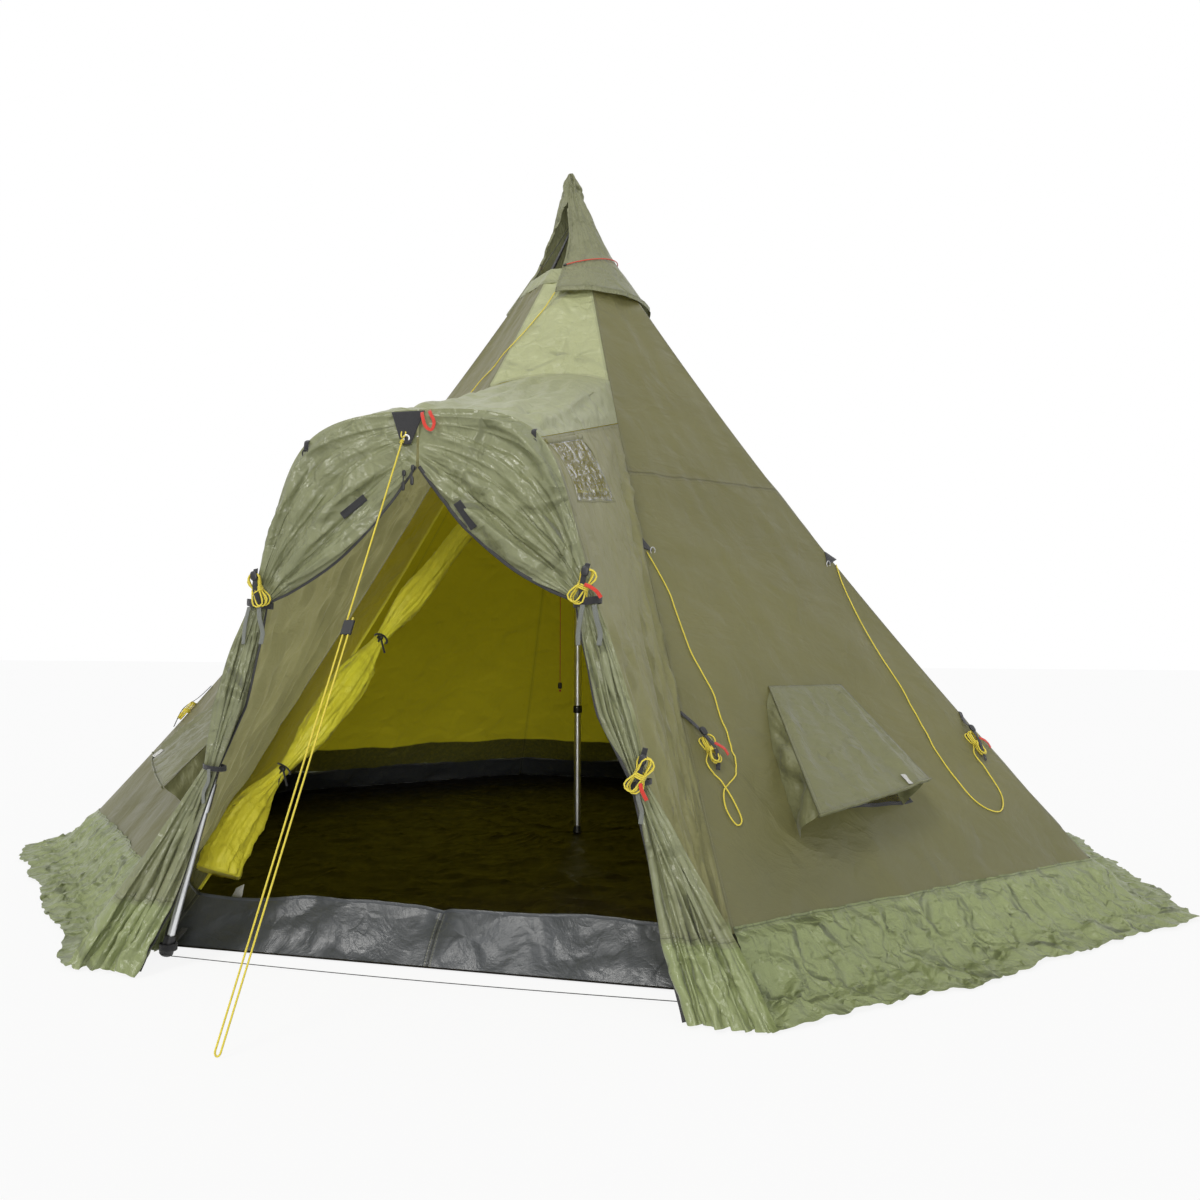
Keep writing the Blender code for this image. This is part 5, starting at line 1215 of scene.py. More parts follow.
def make_flaps():
    """Door flaps tied back to the arch's legs. Finer folds run with the big ones towards the ties, and the lowest
    part, in the skirt's cloth, is crumpled."""
    d = np.concatenate([np.linspace(0, 0.5, 84), np.linspace(0.5, 1, 84)[1:]])
    a, d = np.broadcast_arrays(steps(97)[None, :], d[:, None])
    for hand, where in HANDS:
        flat = flap_grid(hand, a, d)
        z = flat[..., 2]
        upper = np.minimum(d / 0.5, 1)
        inside = ease(0, 0.05, a) * ease(0, 0.05, d)
        width = np.linalg.norm(flat[:, -1] - flat[:, 0], axis=1)[:, None]
        near_tie = np.exp(-((d - 0.5) / 0.09) ** 2)
        fine = np.sin(TAU * (8 * a + 0.9 * waves(a, d, 81 + hand, 4, 0.9, 0.3)))
        swag = creases(a * 0.42 + upper * 0.10, d * 0.30, 83 + hand, 0.30, 0.09, 0.35)
        cross = crumple(a * 0.35, d * 1.3, 89 + hand, 0.26, 0.07)
        lift = inside * np.minimum(width * 0.05, 0.0030) * fine * (0.25 + 0.75 * near_tie)
        hanging = np.sin(TAU * (6 * a + 0.5 * waves(a, d, 85 + hand, 4, 0.9, 0.3)))
        lift = lift + inside * ease(0.5, 0.58, d) * np.minimum(width * 0.10, 0.0095) * hanging
        lift = lift + inside * np.minimum(width * 0.08, 0.014) * (swag - 0.35)
        lift = lift + inside * np.minimum(width * 0.05, 0.009) * (cross - 0.5) * (1 - near_tie)
        low = ease(0.18, 0.05, z) * 0.022 * (crumple(a * 0.25, z, 87 + hand, 0.11, 0.035) - 0.3)
        points = raised(flat, -hand * (0.001 + lift + low))
        points[..., 2] = np.maximum(points[..., 2], 0.0012)
        points[..., 1] = np.minimum(points[..., 1], PORCH_Y - HEM / 2 - 0.0006)
        foot = np.clip((FLAP_BAND + 0.002 - z) / BAND_FADE, 0, 1)
        seam = np.minimum((1 - a) * width, np.abs(z - FLAP_BAND))
        # The flaps take a darker copy of the porch cloth: painted shade.
        flap = surface("door_flap_" + where, points, "flap_cloth", flip=hand > 0,
                       layers={"seam": seam, "run": metres(flat)[..., 1], "foot": foot})
        sheet(flap, ["door_flap_" + where])
        edge = even_path(points[:, -1], 220)
        edge[:, 1] -= 0.0008
        half = 0.0044 if hand > 0 else 0.0034
        piece(strand("door_zip_" + where, edge, half, 0.0011, (0, 1, 0), "zip_tape", 10, 0.6))


# Vents
def hood_frame(hand):
    face = 45 * hand
    side = axes(face)[1]
    hinge = wall_at(face, -hand * VENT_SHIFT, HOOD_TOP, HOOD_OUT, lifted=False)
    down = unit(wall_at(face, 0, VENT_FOOT, lifted=False) - wall_at(face, 0, HOOD_TOP, lifted=False))
    c, s = math.cos(HOOD_OPEN), math.sin(HOOD_OPEN)
    down = down * c - np.cross(side, down) * s
    return face, side, hinge, down


def hood_grid(hand, a, d):
    """Vent hood: from its hinged seam, wider downwards, longer on the side by the door, sagging a little."""
    face, side, hinge, down = hood_frame(hand)
    across = lerp(-1, 1, a)
    near = -across * hand
    half = lerp(HOOD_HALF_TOP, HOOD_HALF_RIM * (1 + HOOD_SKEW * near), d)
    length = HOOD_LENGTH * (1 + 0.5 * HOOD_SKEW * near)
    sag = 0.012 * (1 - across ** 2) * d
    sideways = across * half - hand * HOOD_RIM_SHIFT * d
    return (hinge + side * sideways[..., None] + down * (length * d)[..., None]
            + wall_normal(face, 0.5) * sag[..., None])


def make_vents():
    """Nets in the two vent holes, hoods hinged over them, and the gussets that close the hoods' sides."""
    for hand, where in HANDS:
        face, side, _, down = hood_frame(hand)
        body = where + "_hood"
        a, d = shares(26, 26)
        z = lerp(VENT_TOP, VENT_FOOT, d)
        half = lerp(VENT_HALF_TOP, VENT_HALF_FOOT, d)
        sag = -0.004 * np.sin(math.pi * a) * np.sin(math.pi * d)
        across = lerp(-1, 1, a) * half - hand * VENT_SHIFT
        lift = wall_lift(face, across, z)
        net = surface("vent_net_" + where, wall_at(face, across, z, -0.0015 + sag + lift, lifted=False), "net")
        sheet(net, ["vent_net_" + where])
        hem = np.array([(-1, 0), (1, 0), (1, 1), (-1, 1), (-1, 0)], float)
        hem = np.concatenate([lerp(start, end, steps(12)[:-1, None]) for start, end in zip(hem, hem[1:])])
        z = lerp(VENT_TOP, VENT_FOOT, hem[:, 1])
        across = hem[:, 0] * lerp(VENT_HALF_TOP, VENT_HALF_FOOT, hem[:, 1]) - hand * VENT_SHIFT
        rim = wall_at(face, across, z, 0.0006)
        piece(strand("vent_binding_" + where, np.concatenate([rim, rim[:1]]), 0.006, 0.0011, wall_normal(face, 0.5),
                     "webbing", 10, 0.6))

        a, d = shares(61, 61)
        flat = hood_grid(hand, a, d)
        calm = ease(0, 0.12, d) * (1 - 0.6 * ease(0.8, 1, d)) * ease(0, 0.06, a) * ease(0, 0.06, 1 - a)
        pull = 0.0055 * waves(a * 0.5, d * 0.16, 101 + hand, 6, 0.34, 0.07, 0.7)
        pull = pull + 0.0080 * (creases(a * 0.45, d * 0.42, 103 + hand, 0.20, 0.06) - 0.4)
        points = raised(flat, 0.0030 + calm * pull)
        along, deep = np.moveaxis(metres(flat), -1, 0)
        seam = np.min([deep, along.max() - along, along, deep.max() - deep], axis=0)
        hood = surface("vent_hood_" + where, points, "hood_cloth", layers={"seam": seam, "run": along})
        sheet(hood, ["vent_hood_" + where], body=body)
        rim = even_path(points[-1], 90)
        piece(strand("vent_rim_" + where, rim, 0.0055, 0.0024, down, "hood_cloth", 12, 0.7), body)
        middle = 0.5 + 0.26 * hand
        normal = wall_normal(face, 0.5)
        tab = hood_grid(hand, np.full(9, middle), np.linspace(0.905, 0.99, 9)) + normal * 0.0048
        piece(strand("vent_tab_" + where, tab, 0.027, 0.0008, normal, "label_cloth", 12, 0.4), body)

        hood_out = np.cross(down, side)
        for end, label in ((1, "front"), (-1, "back")):
            end = -hand * end
            u, w = shares(18, 34)
            d = lerp(0.10, 0.99, w)
            edge = hood_grid(hand, np.full_like(d, 0.5 + 0.5 * end), d)
            across = edge @ side
            foot_z = lerp(HOOD_TOP, edge[..., 2] - GUSSET_DROP, d)
            on_wall = wall_at(face, across - end * 0.02, foot_z, 0.0022)
            flutter = 0.008 * np.sin(math.pi * u) * ease(0.1, 0.6, w)
            grid = raised(lerp(on_wall, edge + hood_out * 0.0012, u[..., None]),
                          flutter * waves(u * 0.1, w * 0.4, 107 + end, 4, 0.16, 0.06))
            name = "vent_gusset_%s_%s" % (where, label)
            gusset = surface(name, grid, "hood_cloth", flip=end < 0)
            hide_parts(name)
            middle = grid[-6]
            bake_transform(gusset)


# Peak
CAP_PROFILE = ((0.0014, 2.7990), (0.0100, 2.7940), (0.0200, 2.7700), (0.0330, 2.7350), (0.0500, 2.6850),
               (0.0670, 2.6350), (0.0830, 2.5850), (0.1010, 2.5250), (0.1260, 2.4600))


def elastic_height(share):
    return ELASTIC_LOW + ELASTIC_RISE * np.sin(np.minimum(share * 2.4, 1.0) * math.pi / 2)


def make_peak():
    """Straps from the pole's head to the crown band, the storm cap with its pleats and twisted tip, its hems and
    its elastic. The cap's radius is its profile less pleats that gather upwards, and the tip's folds wind round."""
    disc = POLE_TOP + 0.0003
    rise = np.array([0.0, 0.0004, 0.0060, 0.0078, 0.0082])
    wide = np.array([0.0215, 0.0240, 0.0240, 0.0200, 0.0080])
    parts = [strand("peak_disc", stack(0, 0, disc + rise), wide, wide, (0, 1, 0), "webbing", 40)]
    for k in range(8):
        turn = math.degrees(HALF_FACE) + k * 45.0
        angle = math.radians(turn)
        out = np.array([math.sin(angle), -math.cos(angle), 0])
        top, foot = out * 0.019 + (0, 0, disc + 0.0046), ridge_at(turn, COLLAR_TOP - 0.006, -0.0050)
        share = steps(26)[:, None]
        path = lerp(top, foot, share) - out * (0.004 * np.sin(math.pi * share))
        parts.append(strand("peak_strap", path, 0.0062, 0.0011, out + (0, 0, 0.63), "webbing", 12, 0.5,
                            twist=0.20 * np.sin(share[:, 0] * math.pi) * (-1) ** k))
    straps = piece(joined("peak_straps", parts))
    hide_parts("peak_straps")

    body = [(ridge_radius(z) + CAP_CLEAR + 0.0026, z) for z in np.linspace(2.395, CAP_FOOT, 6)]
    outline = smooth_path(CAP_PROFILE + tuple(body), 400)
    z = outline[:, 1]
    pick = np.unique(np.concatenate([np.arange(0, 150, 2), np.arange(150, 400, 3), [399]]))
    outline = outline[pick]
    hem = outline[-1] + np.array([[0.0008, -0.0012], [-0.0012, -0.0014], [-0.0022, 0.0020], [-0.0024, 0.0180]])
    radius, z = np.concatenate([outline, hem]).T[:, :, None]
    count = 200
    column = np.arange(count)[None, :]
    opened = ease(2.640, 2.604, z)
    share = opened * column / (count - 1) + (1 - opened) * column / count
    gap = CAP_GAP * (0.12 + 0.88 * np.clip((2.625 - z) / 0.20, 0, 1))
    angle = CAP_START + share * (TAU - opened * gap)
    round_x, round_y = 0.20 * np.cos(angle), 0.20 * np.sin(angle)
    pleat = creases(round_x * 1.3, round_y * 1.3 + z * 0.10, 121, 0.20, 0.055)
    flute = 0.5 + 0.5 * np.sin(13 * angle + 2.0 * waves(round_x, round_y, 123, 3, 0.4, 0.2))
    elastic = np.exp(-((z - elastic_height(share)) / 0.022) ** 2)
    lower = ease(2.62, 2.50, z)
    deep = lower * (0.0085 * (1 - pleat) + 0.0022 * (1 - flute)) * (1 - 0.75 * elastic)
    deep = deep + (1 - lower) * np.minimum(radius * 0.26, 0.0090) * (1 - flute)
    clear = ease(2.36, 2.32, z)
    deep = deep * (1 - 0.60 * clear)
    billow = 0.0080 * ease(2.30, 2.18, z) * np.maximum(waves(round_x * 1.5, round_y * 1.5, 125, 4, 0.3, 0.1), 0)
    stand = 0.016 * np.exp(-((1 - share) / 0.09) ** 2) + 0.008 * np.exp(-(share / 0.05) ** 2)
    billow = billow + stand * ease(2.33, 2.46, z) * ease(2.70, 2.60, z)
    knob = ease(2.66, 2.72, z)
    wind = angle + 12 * np.maximum(z - 2.66, 0)
    twisted = radius * knob * (0.20 * np.sin(3 * wind) + 0.12 * np.sin(5 * wind + 1.0) + 0.06 * np.sin(11 * wind))
    rough = 0.008 * (crumple(round_x * 1.4, round_y * 1.4 + z, 127, 0.16, 0.04) - 0.5) * ease(2.80, 2.74, z)
    rough = rough * (1 - elastic) * (1 - clear)
    radius = np.maximum(radius - deep + billow + rough - 0.0022 * elastic * lower + twisted, 0.0006)
    lean = 0.036 * ease(2.42, 2.74, z)
    points = stack(radius * np.sin(angle) - lean, -radius * np.cos(angle), z + 0 * angle)
    keep = np.ones((len(z) - 1, count), bool)
    keep[:, -1] = opened[1:, 0] <= 0
    edge = (np.minimum(share, 1 - share) * (TAU - CAP_GAP) * radius) * opened + (1 - opened) * 0.5
    seam = np.minimum(edge, np.abs(z - CAP_FOOT - 0.022))
    cap = surface("storm_cap", points, "cap_cloth", wrap=True, keep=keep, ends=(0,),
                  layers={"seam": seam, "run": z + 0 * angle})
    sheet(cap, ["storm_cap"], body="cap")
    last = int((opened[:, 0] >= 0.9).nonzero()[0][0])
    for name, column in (("cap_edge_front", 0), ("cap_edge_back", -1)):
        hem = even_path(points[last:-2, column], 80)
        piece(strand(name, hem, 0.0050, 0.0013, (0.3, -1, 0.2), "cap_cloth", 10, 0.6), "cap")

    share = steps(220)
    angle = CAP_START + math.radians(1.5) + share * (TAU - CAP_GAP - math.radians(3))
    z = elastic_height(share)
    radius = ridge_radius(z) + CAP_CLEAR + 0.0034 + ELASTIC_RADIUS * 0.9
    ring = stack(radius * np.sin(angle), -radius * np.cos(angle), z)
    ends = [pebble("elastic_toggle", ring[k], ring[k] - ring[k + (1 if k == 0 else -1)], unit(ring[k] * (1, 1, 0)),
                   (0.0075, 0.0042, 0.0036), "black_plastic", rounds=14) for k in (0, -1)]
    for k, end in enumerate(ends):
        end.name = "elastic_toggle_%d" % k
        piece(end, "cap")
    lay_cord("cap_elastic", ring, ELASTIC_RADIUS, (0, 0, 1), "red_cord", ends, "cap")


# Inner tent and floor
def inner_at(face, share, z, off=0.0):
    """Points on the inner tent, which hangs a hand's breadth inside the walls, off it along its normal."""
    out, side = axes(face)
    distance = face_distance(z) - INSET
    flat = out * distance[..., None] + side * (share * distance * TAN)[..., None] + stack(0, 0, z)
    return flat + wall_normal(face, z) * np.asarray(off)[..., None]


def inner_drape(face, share, z):
    calm = (1 - np.abs(share) ** 8) * ease(INNER_TOP, INNER_TOP - 0.1, z)
    across = share * face_distance(z) * TAN
    fold = creases(across, z * 0.30, 140 + face, 0.50, 0.12, 0.7)
    return calm * (0.0075 * waves(across, z * 0.5, 150 + face, 6, 0.9, 0.2) + 0.012 * (fold - 0.4)
                   + 0.0020 * waves(across, z, 160 + face, 5, 0.12, 0.04))


def make_inner():
    """Yellow inner tent with its doorway open to the porch, door zips, dark vents and the door rolled to the left."""
    low = FLOOR + TUB_HEIGHT + 0.0021
    z = np.unique(np.concatenate([np.linspace(INNER_TOP, INNER_DOOR_TOP, 46), np.linspace(INNER_DOOR_TOP, low, 52),
                                  INNER_BAND]))[::-1][:, None]
    z = z[np.concatenate([[True], np.diff(z[:, 0]) < -1e-6])]
    count = 26
    share = np.linspace(-1, 1, count + 1)[None, :-1]
    level = z + 0 * share
    points = np.concatenate([inner_at(face, share + 0 * z, level, inner_drape(face, share, level))
                             for face in EIGHT_FACES], 1)
    seam = np.tile((1 - np.abs(share)) * (face_distance(z) - INSET) * TAN, (1, 8))
    keep = np.ones((len(z) - 1, count * 8), bool)
    keep[z[1:, 0] < INNER_DOOR_TOP - 1e-6, :count] = False
    foot = np.tile(np.clip((INNER_BAND[1] - level) / BAND_FADE, 0, 1), (1, 8))
    inner = surface("inner_tent", points, "inner_cloth", wrap=True, keep=keep,
                    layers={"seam": seam, "run": np.tile(level, (1, 8)), "foot": foot})
    sheet(inner, ["inner_" + where for where in ("front", *WALL_NAMES)])

    level = np.linspace(INNER_DOOR_TOP, low + 0.004, 120)
    # The door's zip tapes and the rolled door take the lighter copy of the inner yellow: painted light.
    for end, where in HANDS:
        jamb = inner_at(0, np.full(120, float(end)), level, 0.001)
        piece(strand("inner_zip_" + where, jamb, 0.0065, 0.0014, (end * 0.4, -1, 0.3), "roll_cloth", 12, 0.5))
    across = np.linspace(-0.99, 0.99, 90)
    level = np.full(90, INNER_DOOR_TOP + 0.002)
    head = inner_at(0, across, level, 0.001 + inner_drape(0, across, level))
    piece(strand("inner_zip_head", head, 0.0065, 0.0014, (0, -1, 0.6), "roll_cloth", 12, 0.5))
    for hand, where in HANDS:
        u, w = shares(20, 20, -1)
        z = lerp(0.62, 0.36, w)
        share = (u * lerp(0.10, 0.17, w) - hand * VENT_SHIFT) / ((face_distance(z) - INSET) * TAN)
        lift = inner_drape(45 * hand, share, z)
        piece(surface("inner_net_" + where, inner_at(45 * hand, share, z, lift - 0.0022), "net"))
        rim = inner_at(45 * hand, share, z, lift - 0.0026)
        ring = np.concatenate([rim[0], rim[1:, -1], rim[-1, -2::-1], rim[-2::-1, 0]])
        piece(strand("inner_binding_" + where, ring, 0.010, 0.0014, wall_normal(45 * hand, 0.5), "webbing", 10, 0.5))

    count = 210
    line = smooth_path(ROLL_LINE, count)
    share = steps(count)
    pinch = np.min([np.abs(share - tie) for tie in ROLL_TIES], axis=0)
    swell = lerp(0.62, 1.0, ease(0.0, 0.45, share)) * (1 + 0.18 * ease(0.8, 1, share))
    size = ROLL_RADIUS * (0.36 + 0.64 * ease(0, 0.13, pinch)) * swell
    size = np.convolve(np.pad(size, 4, mode="edge"), np.ones(9) / 9, mode="valid")
    grid = section(line, size, size, ROLL_SIDE, 72)
    turn = np.linspace(0, TAU, 72, endpoint=False)[None, :]
    s = share[:, None] * path_length(line)
    fold = creases(0.085 * np.cos(turn) + 0.16 * s, 0.085 * np.sin(turn) - 0.10 * s, 171, 0.075, 0.022)
    pleat = creases(0.11 * np.cos(turn), 0.11 * np.sin(turn) + 0.055 * s, 173, 0.10, 0.035)
    gathered = np.exp(-(pinch[:, None] / 0.10) ** 2)
    spiral = np.abs(np.sin(turn * 1.5 + s * 2.5))
    lift = size[:, None] * (0.16 * (fold - 0.6) + (0.26 + 0.34 * gathered) * (pleat - 0.6) - 0.16 * (1 - spiral) ** 3)
    # The rolled door's cloth is the inner yellow with painted light.
    roll = surface("inner_door_roll", raised(grid, lift, wrap=True), "roll_cloth", wrap=True, ends=(0, 1),
                   layers={"seam": np.full(grid.shape[:2], 0.5), "foot": np.zeros(grid.shape[:2])})
    piece(roll)
    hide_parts("inner_door_roll")
    run = unit(np.gradient(line, axis=0))
    for k, tie in enumerate(ROLL_TIES):
        at = int(tie * (count - 1))
        side = unit(np.cross(run[at], ROLL_SIDE))
        up = np.cross(side, run[at])
        turn = np.linspace(0, TAU, 41)[:, None]
        reach = size[at] + 0.0012
        ring = line[at] + (side * np.cos(turn) + up * np.sin(turn)) * reach + run[at] * 0.002 * np.sin(turn * 2)
        piece(strand("roll_tie_%d" % k, ring, 0.0036, 0.0022, run[at], "webbing", 10, 0.7))
        knot = line[at] + unit(np.array([0.25, -1, 0.1])) * (size[at] + 0.004)
        piece(pebble("roll_toggle_%d" % k, knot, side, (0, 1, 0), (0.010, 0.0065, 0.006), "black_plastic"))
        for m, lean in enumerate((-0.25, 0.35)):
            tail = knot + stack(lean * 0.05 * steps(14), -0.004 * steps(14), -0.048 * steps(14) ** 1.2)
            piece(strand("roll_tail_%d_%d" % (k, m), tail, 0.0034, 0.0009, (0, 1, 0.3), "webbing", 8, 0.5))


def make_floor():
    """Groundsheet and its upstand. The floor lies in crumples up to 9 mm high, flat at the rim and by the pole."""
    apothem = face_distance(0) - INSET + 0.012
    rho = np.linspace(0.012, 1, 86)[:, None]
    share = np.linspace(-1, 1, 35)[None, :-1]
    grids = []
    for face in EIGHT_FACES:
        out, side = axes(face)
        grids.append(out * (rho * apothem + 0 * share)[..., None] + side * (share * rho * apothem * TAN)[..., None])
    points = np.concatenate(grids, 1)
    x, y = points[..., 0], points[..., 1]
    calm = ease(0.05, 0.20, np.hypot(x, y)) * (1 - ease(0.955, 0.985, rho))
    lie = 0.0150 * creases(x, y, 181, 0.60, 0.14) ** 1.5 + 0.0070 * crumple(x, y, 183, 0.42, 0.10)
    points[..., 2] = FLOOR + calm * lie
    floor = surface("groundsheet", points, "floor_cloth", wrap=True, ends=(0,))
    sheet(floor, ["groundsheet"])

    base = FLOOR + 0.0003
    apothem = face_distance(0) - INSET
    lean = face_distance(0) - face_distance(base + TUB_HEIGHT)
    level = np.array([1.0, 0.985, 0.90, 0.80, 0.70, 0.60, 0.50, 0.40, 0.30, 0.20, 0.10, 0.0])[:, None]
    share = np.linspace(-1, 1, 97)[None, :-1]
    grids, seams = [], []
    for face in EIGHT_FACES:
        out, side = axes(face)
        distance = apothem - lean * level
        side_way = share * WALL_LENGTH / 2
        s = face / 45.0 * WALL_LENGTH + side_way + 0 * level
        calm = (1 - np.abs(share) ** 10) * ease(0.0, 0.25, level)
        push = calm * (0.0130 * (crumple(s, level * 0.12, 191, 0.20, 0.05) - 0.5)
                       + 0.0070 * waves(s, level * 0.10, 193, 5, 0.5, 0.12))
        drop = 0.006 * waves(s, 0 * s, 195, 4, 0.7, 0.2) * level
        if face == 0:
            pinch = np.exp(-(side_way / 0.022) ** 2)
            bulge = np.exp(-((side_way - 0.05) / 0.03) ** 2)
            push = push - 0.020 * pinch * level + 0.012 * bulge * level * (1 - level) * 2
            drop = drop + 0.012 * pinch
        grids.append(out * (distance + push)[..., None] + side * (share * distance * TAN)[..., None]
                     + stack(0, 0, base + TUB_HEIGHT * level - np.maximum(drop * level, -0.004)))
        seams.append(np.minimum(np.abs(side_way) if face == 0 else 0.5 + 0 * share,
                                WALL_LENGTH / 2 - np.abs(side_way)) + 0 * level)
    points, seam = np.concatenate(grids, 1), np.concatenate(seams, 1)
    run = level * TUB_HEIGHT + 0 * seam
    tub = surface("tub_wall", points, "tub_cloth", wrap=True, layers={"seam": seam, "run": run})
    sheet(tub, ["tub_wall"])
    rim = np.concatenate([points[0], points[0, :1]])
    rim[:, 2] += 0.0005
    piece(strand("tub_binding", rim, 0.0016, 0.0060, (0, 0, 1), "tub_cloth", 8, 0.6))
    tag = stack(-0.60 + 0.001 * np.sin(np.linspace(0, 3, 14)), lerp(-1.575, -1.600, steps(14)),
                lerp(0.118, 0.086, steps(14)))
    piece(strand("blank_tag", tag, 0.022, 0.0007, (0.2, 1, 0.6), "label_cloth", 10, 0.4))


# Poles and fittings
def make_poles():
    """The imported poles, feet, slider and lock in their own finishes, with the poles' spring buttons and rivets."""
    poles = ("centre_pole_upper", "centre_pole_lower", "arch_pole_top", "arch_pole_right", "arch_pole_left")
    blocks = ("centre_pole_foot", "arch_foot_right", "arch_foot_left", "guy_slider", "cord_lock")
    for finish, nodes in (("pole_metal", poles), ("black_plastic", blocks)):
        for name in nodes:
            for holder in frame["nodes"][name].material_slots:
                holder.material = finished(finish)
    piece(pebble("pole_button", (0.0, -0.0166, 0.520), (0, 1, 0), (0, 0, 1), (0.0022, 0.0034, 0.0034), "steel", 1.0,
                 20))
    collar = stack(0, 0, 0.4975 + np.array([0, 0.001, 0.006, 0.022, 0.028, 0.030]))
    wide = np.array([0.0166, 0.0182, 0.0186, 0.0184, 0.0178, 0.0166])
    sleeve = section(collar, wide, wide, (0, 1, 0), 40)
    piece(surface("pole_collar", sleeve, "black_plastic", wrap=True))
    for hand, where in HANDS:
        for k, z in enumerate((0.385, 0.418)):
            at = np.array([hand * leg_half(z), PORCH_Y - FERRULE_RADIUS, z])
            half = (0.0011, 0.0026, 0.0026)
            piece(pebble("ferrule_rivet_%s_%d" % (where, k), at, (0, 1, 0), (0, 0, 1), half, "steel", 1.0, 16))


def ribbon(name, points, half, finish="webbing", reference=(0, 1, 0), count=30, twist=0.0):
    """A flat tape 1.8 mm thick along a smooth curve through a few points."""
    return piece(strand(name, smooth_path(points, count), half, 0.0009, reference, finish, 12, 0.5, twist))


def band_round(name, x, y, half_x, half_y, half, z, tilt=0.0):
    """A level tape round a pole or a tied flap, its one side a little higher."""
    ring = ring_round((x, y, z), (half_x, 0, tilt), (0, half_y, 0), 49)
    return piece(strand(name, ring, half, 0.0010, (0, 0, 1), "webbing", 10, 0.5, twist=math.pi / 2))


def storage_strap(kind, end, hank, moves, buckle, lean):
    """The strap over a hank on the porch, and its buckle."""
    ribbon(kind + "_strap" + end, around(hank, *moves), 0.0062, reference=(0, -1, 0.2))
    piece(pebble(kind + "_buckle" + end, hank + buckle, (lean, 0, 1), (0, -1, 0), (0.012, 0.0090, 0.0046),
                 "black_plastic"))


def lay_on_flap(where, ends):
    """A straight strip between two spots (across, up) that touches a door flap's highest folds from in front."""
    mesh = bpy.data.objects[free_name("door_flap_" + where)].data
    cloth = np.empty(len(mesh.vertices) * 3, np.float32)
    mesh.vertices.foreach_get("co", cloth)
    cloth = cloth.reshape(-1, 3)
    share = steps(24)
    flat = lerp(np.array(ends[0]), np.array(ends[1]), share[:, None])
    near = ((cloth[:, None, [0, 2]] - flat[None]) ** 2).sum(-1).argmin(0)
    front = cloth[near, 1]
    line = np.polyval(np.polyfit(share, front, 1), share)
    return stack(flat[:, 0], line - np.max(line - front) - 0.0018, flat[:, 1])


def make_wall_fittings():
    """Guy points with their rings, and the storage straps with buckles and red tabs on the walls."""
    for letter, face, end in zip("abcdefg", (45, 45, -45, 135, 135, -135, -135), (-1, 1, -1, -1, 1, 1, -1)):
        name = "guy_point_" + letter
        z = 1.115 if face == -45 else GUY_POINT_HEIGHT
        half = face_distance(z) * TAN
        share = steps(16)
        patch = wall_at(face, end * (half + 0.003 - 0.034 * share), z + 0.030 - 0.030 * share, 0.0016)
        piece(strand(name, patch, lerp(0.026, 0.0045, share), 0.0011, wall_normal(face, z), "webbing", 14, 0.4))
        middle = wall_at(face, end * (half - 0.031), z - 0.002, 0.0042)
        loop = ring_round(middle, axes(face)[1] * 0.0085, (0, 0, 0.0110), 28)
        piece(strand(name + "_ring", loop, 0.0013, 0.0013, wall_normal(face, z), "steel", 10))

    for name, end, (across, z) in (("strap_front_right", -1, FRONT_RIGHT_HANK), ("strap_right", 1, RIGHT_HANK)):
        half, normal = face_distance(z + 0.09) * TAN, wall_normal(45, z)

        def on_wall(*spots):
            return np.array([wall_at(45, *spot) for spot in spots])

        strap = on_wall((end * (half - 0.002), z + 0.100, 0.003), (end * (half - 0.022), z + 0.068, 0.006),
                        (across + end * 0.012, z + 0.034, 0.022), (across, z + 0.004, 0.0265),
                        (across - end * 0.004, z - 0.020, 0.020), (across + end * 0.004, z - 0.046, 0.006))
        ribbon(name, strap, 0.0065, reference=normal, count=44)
        buckle, top, foot = on_wall((across + end * 0.010, z + 0.038, 0.0240), (across, z + 0.06, 0.03),
                                    (across - end * 0.01, z, 0.03))
        piece(pebble(name + "_buckle", buckle, top - foot, normal, (0.013, 0.0098, 0.0048), "black_plastic"))
        tab = on_wall((across + 0.006, z + 0.008, 0.028), (across + 0.018, z - 0.002, 0.032),
                      (across + 0.030, z - 0.010, 0.029), (across + 0.038, z - 0.020, 0.024))
        ribbon(name + "_tab", tab, 0.0050, "red_webbing", normal)
    left, out = left_ridge()
    ribbon("strap_left", [ridge_at(LEFT_RIDGE, 0.61) + out * 0.003, ridge_at(LEFT_RIDGE, 0.56) + out * 0.010,
                          left + out * 0.026, ridge_at(LEFT_RIDGE, 0.45) + out * 0.006], 0.0065, reference=out)


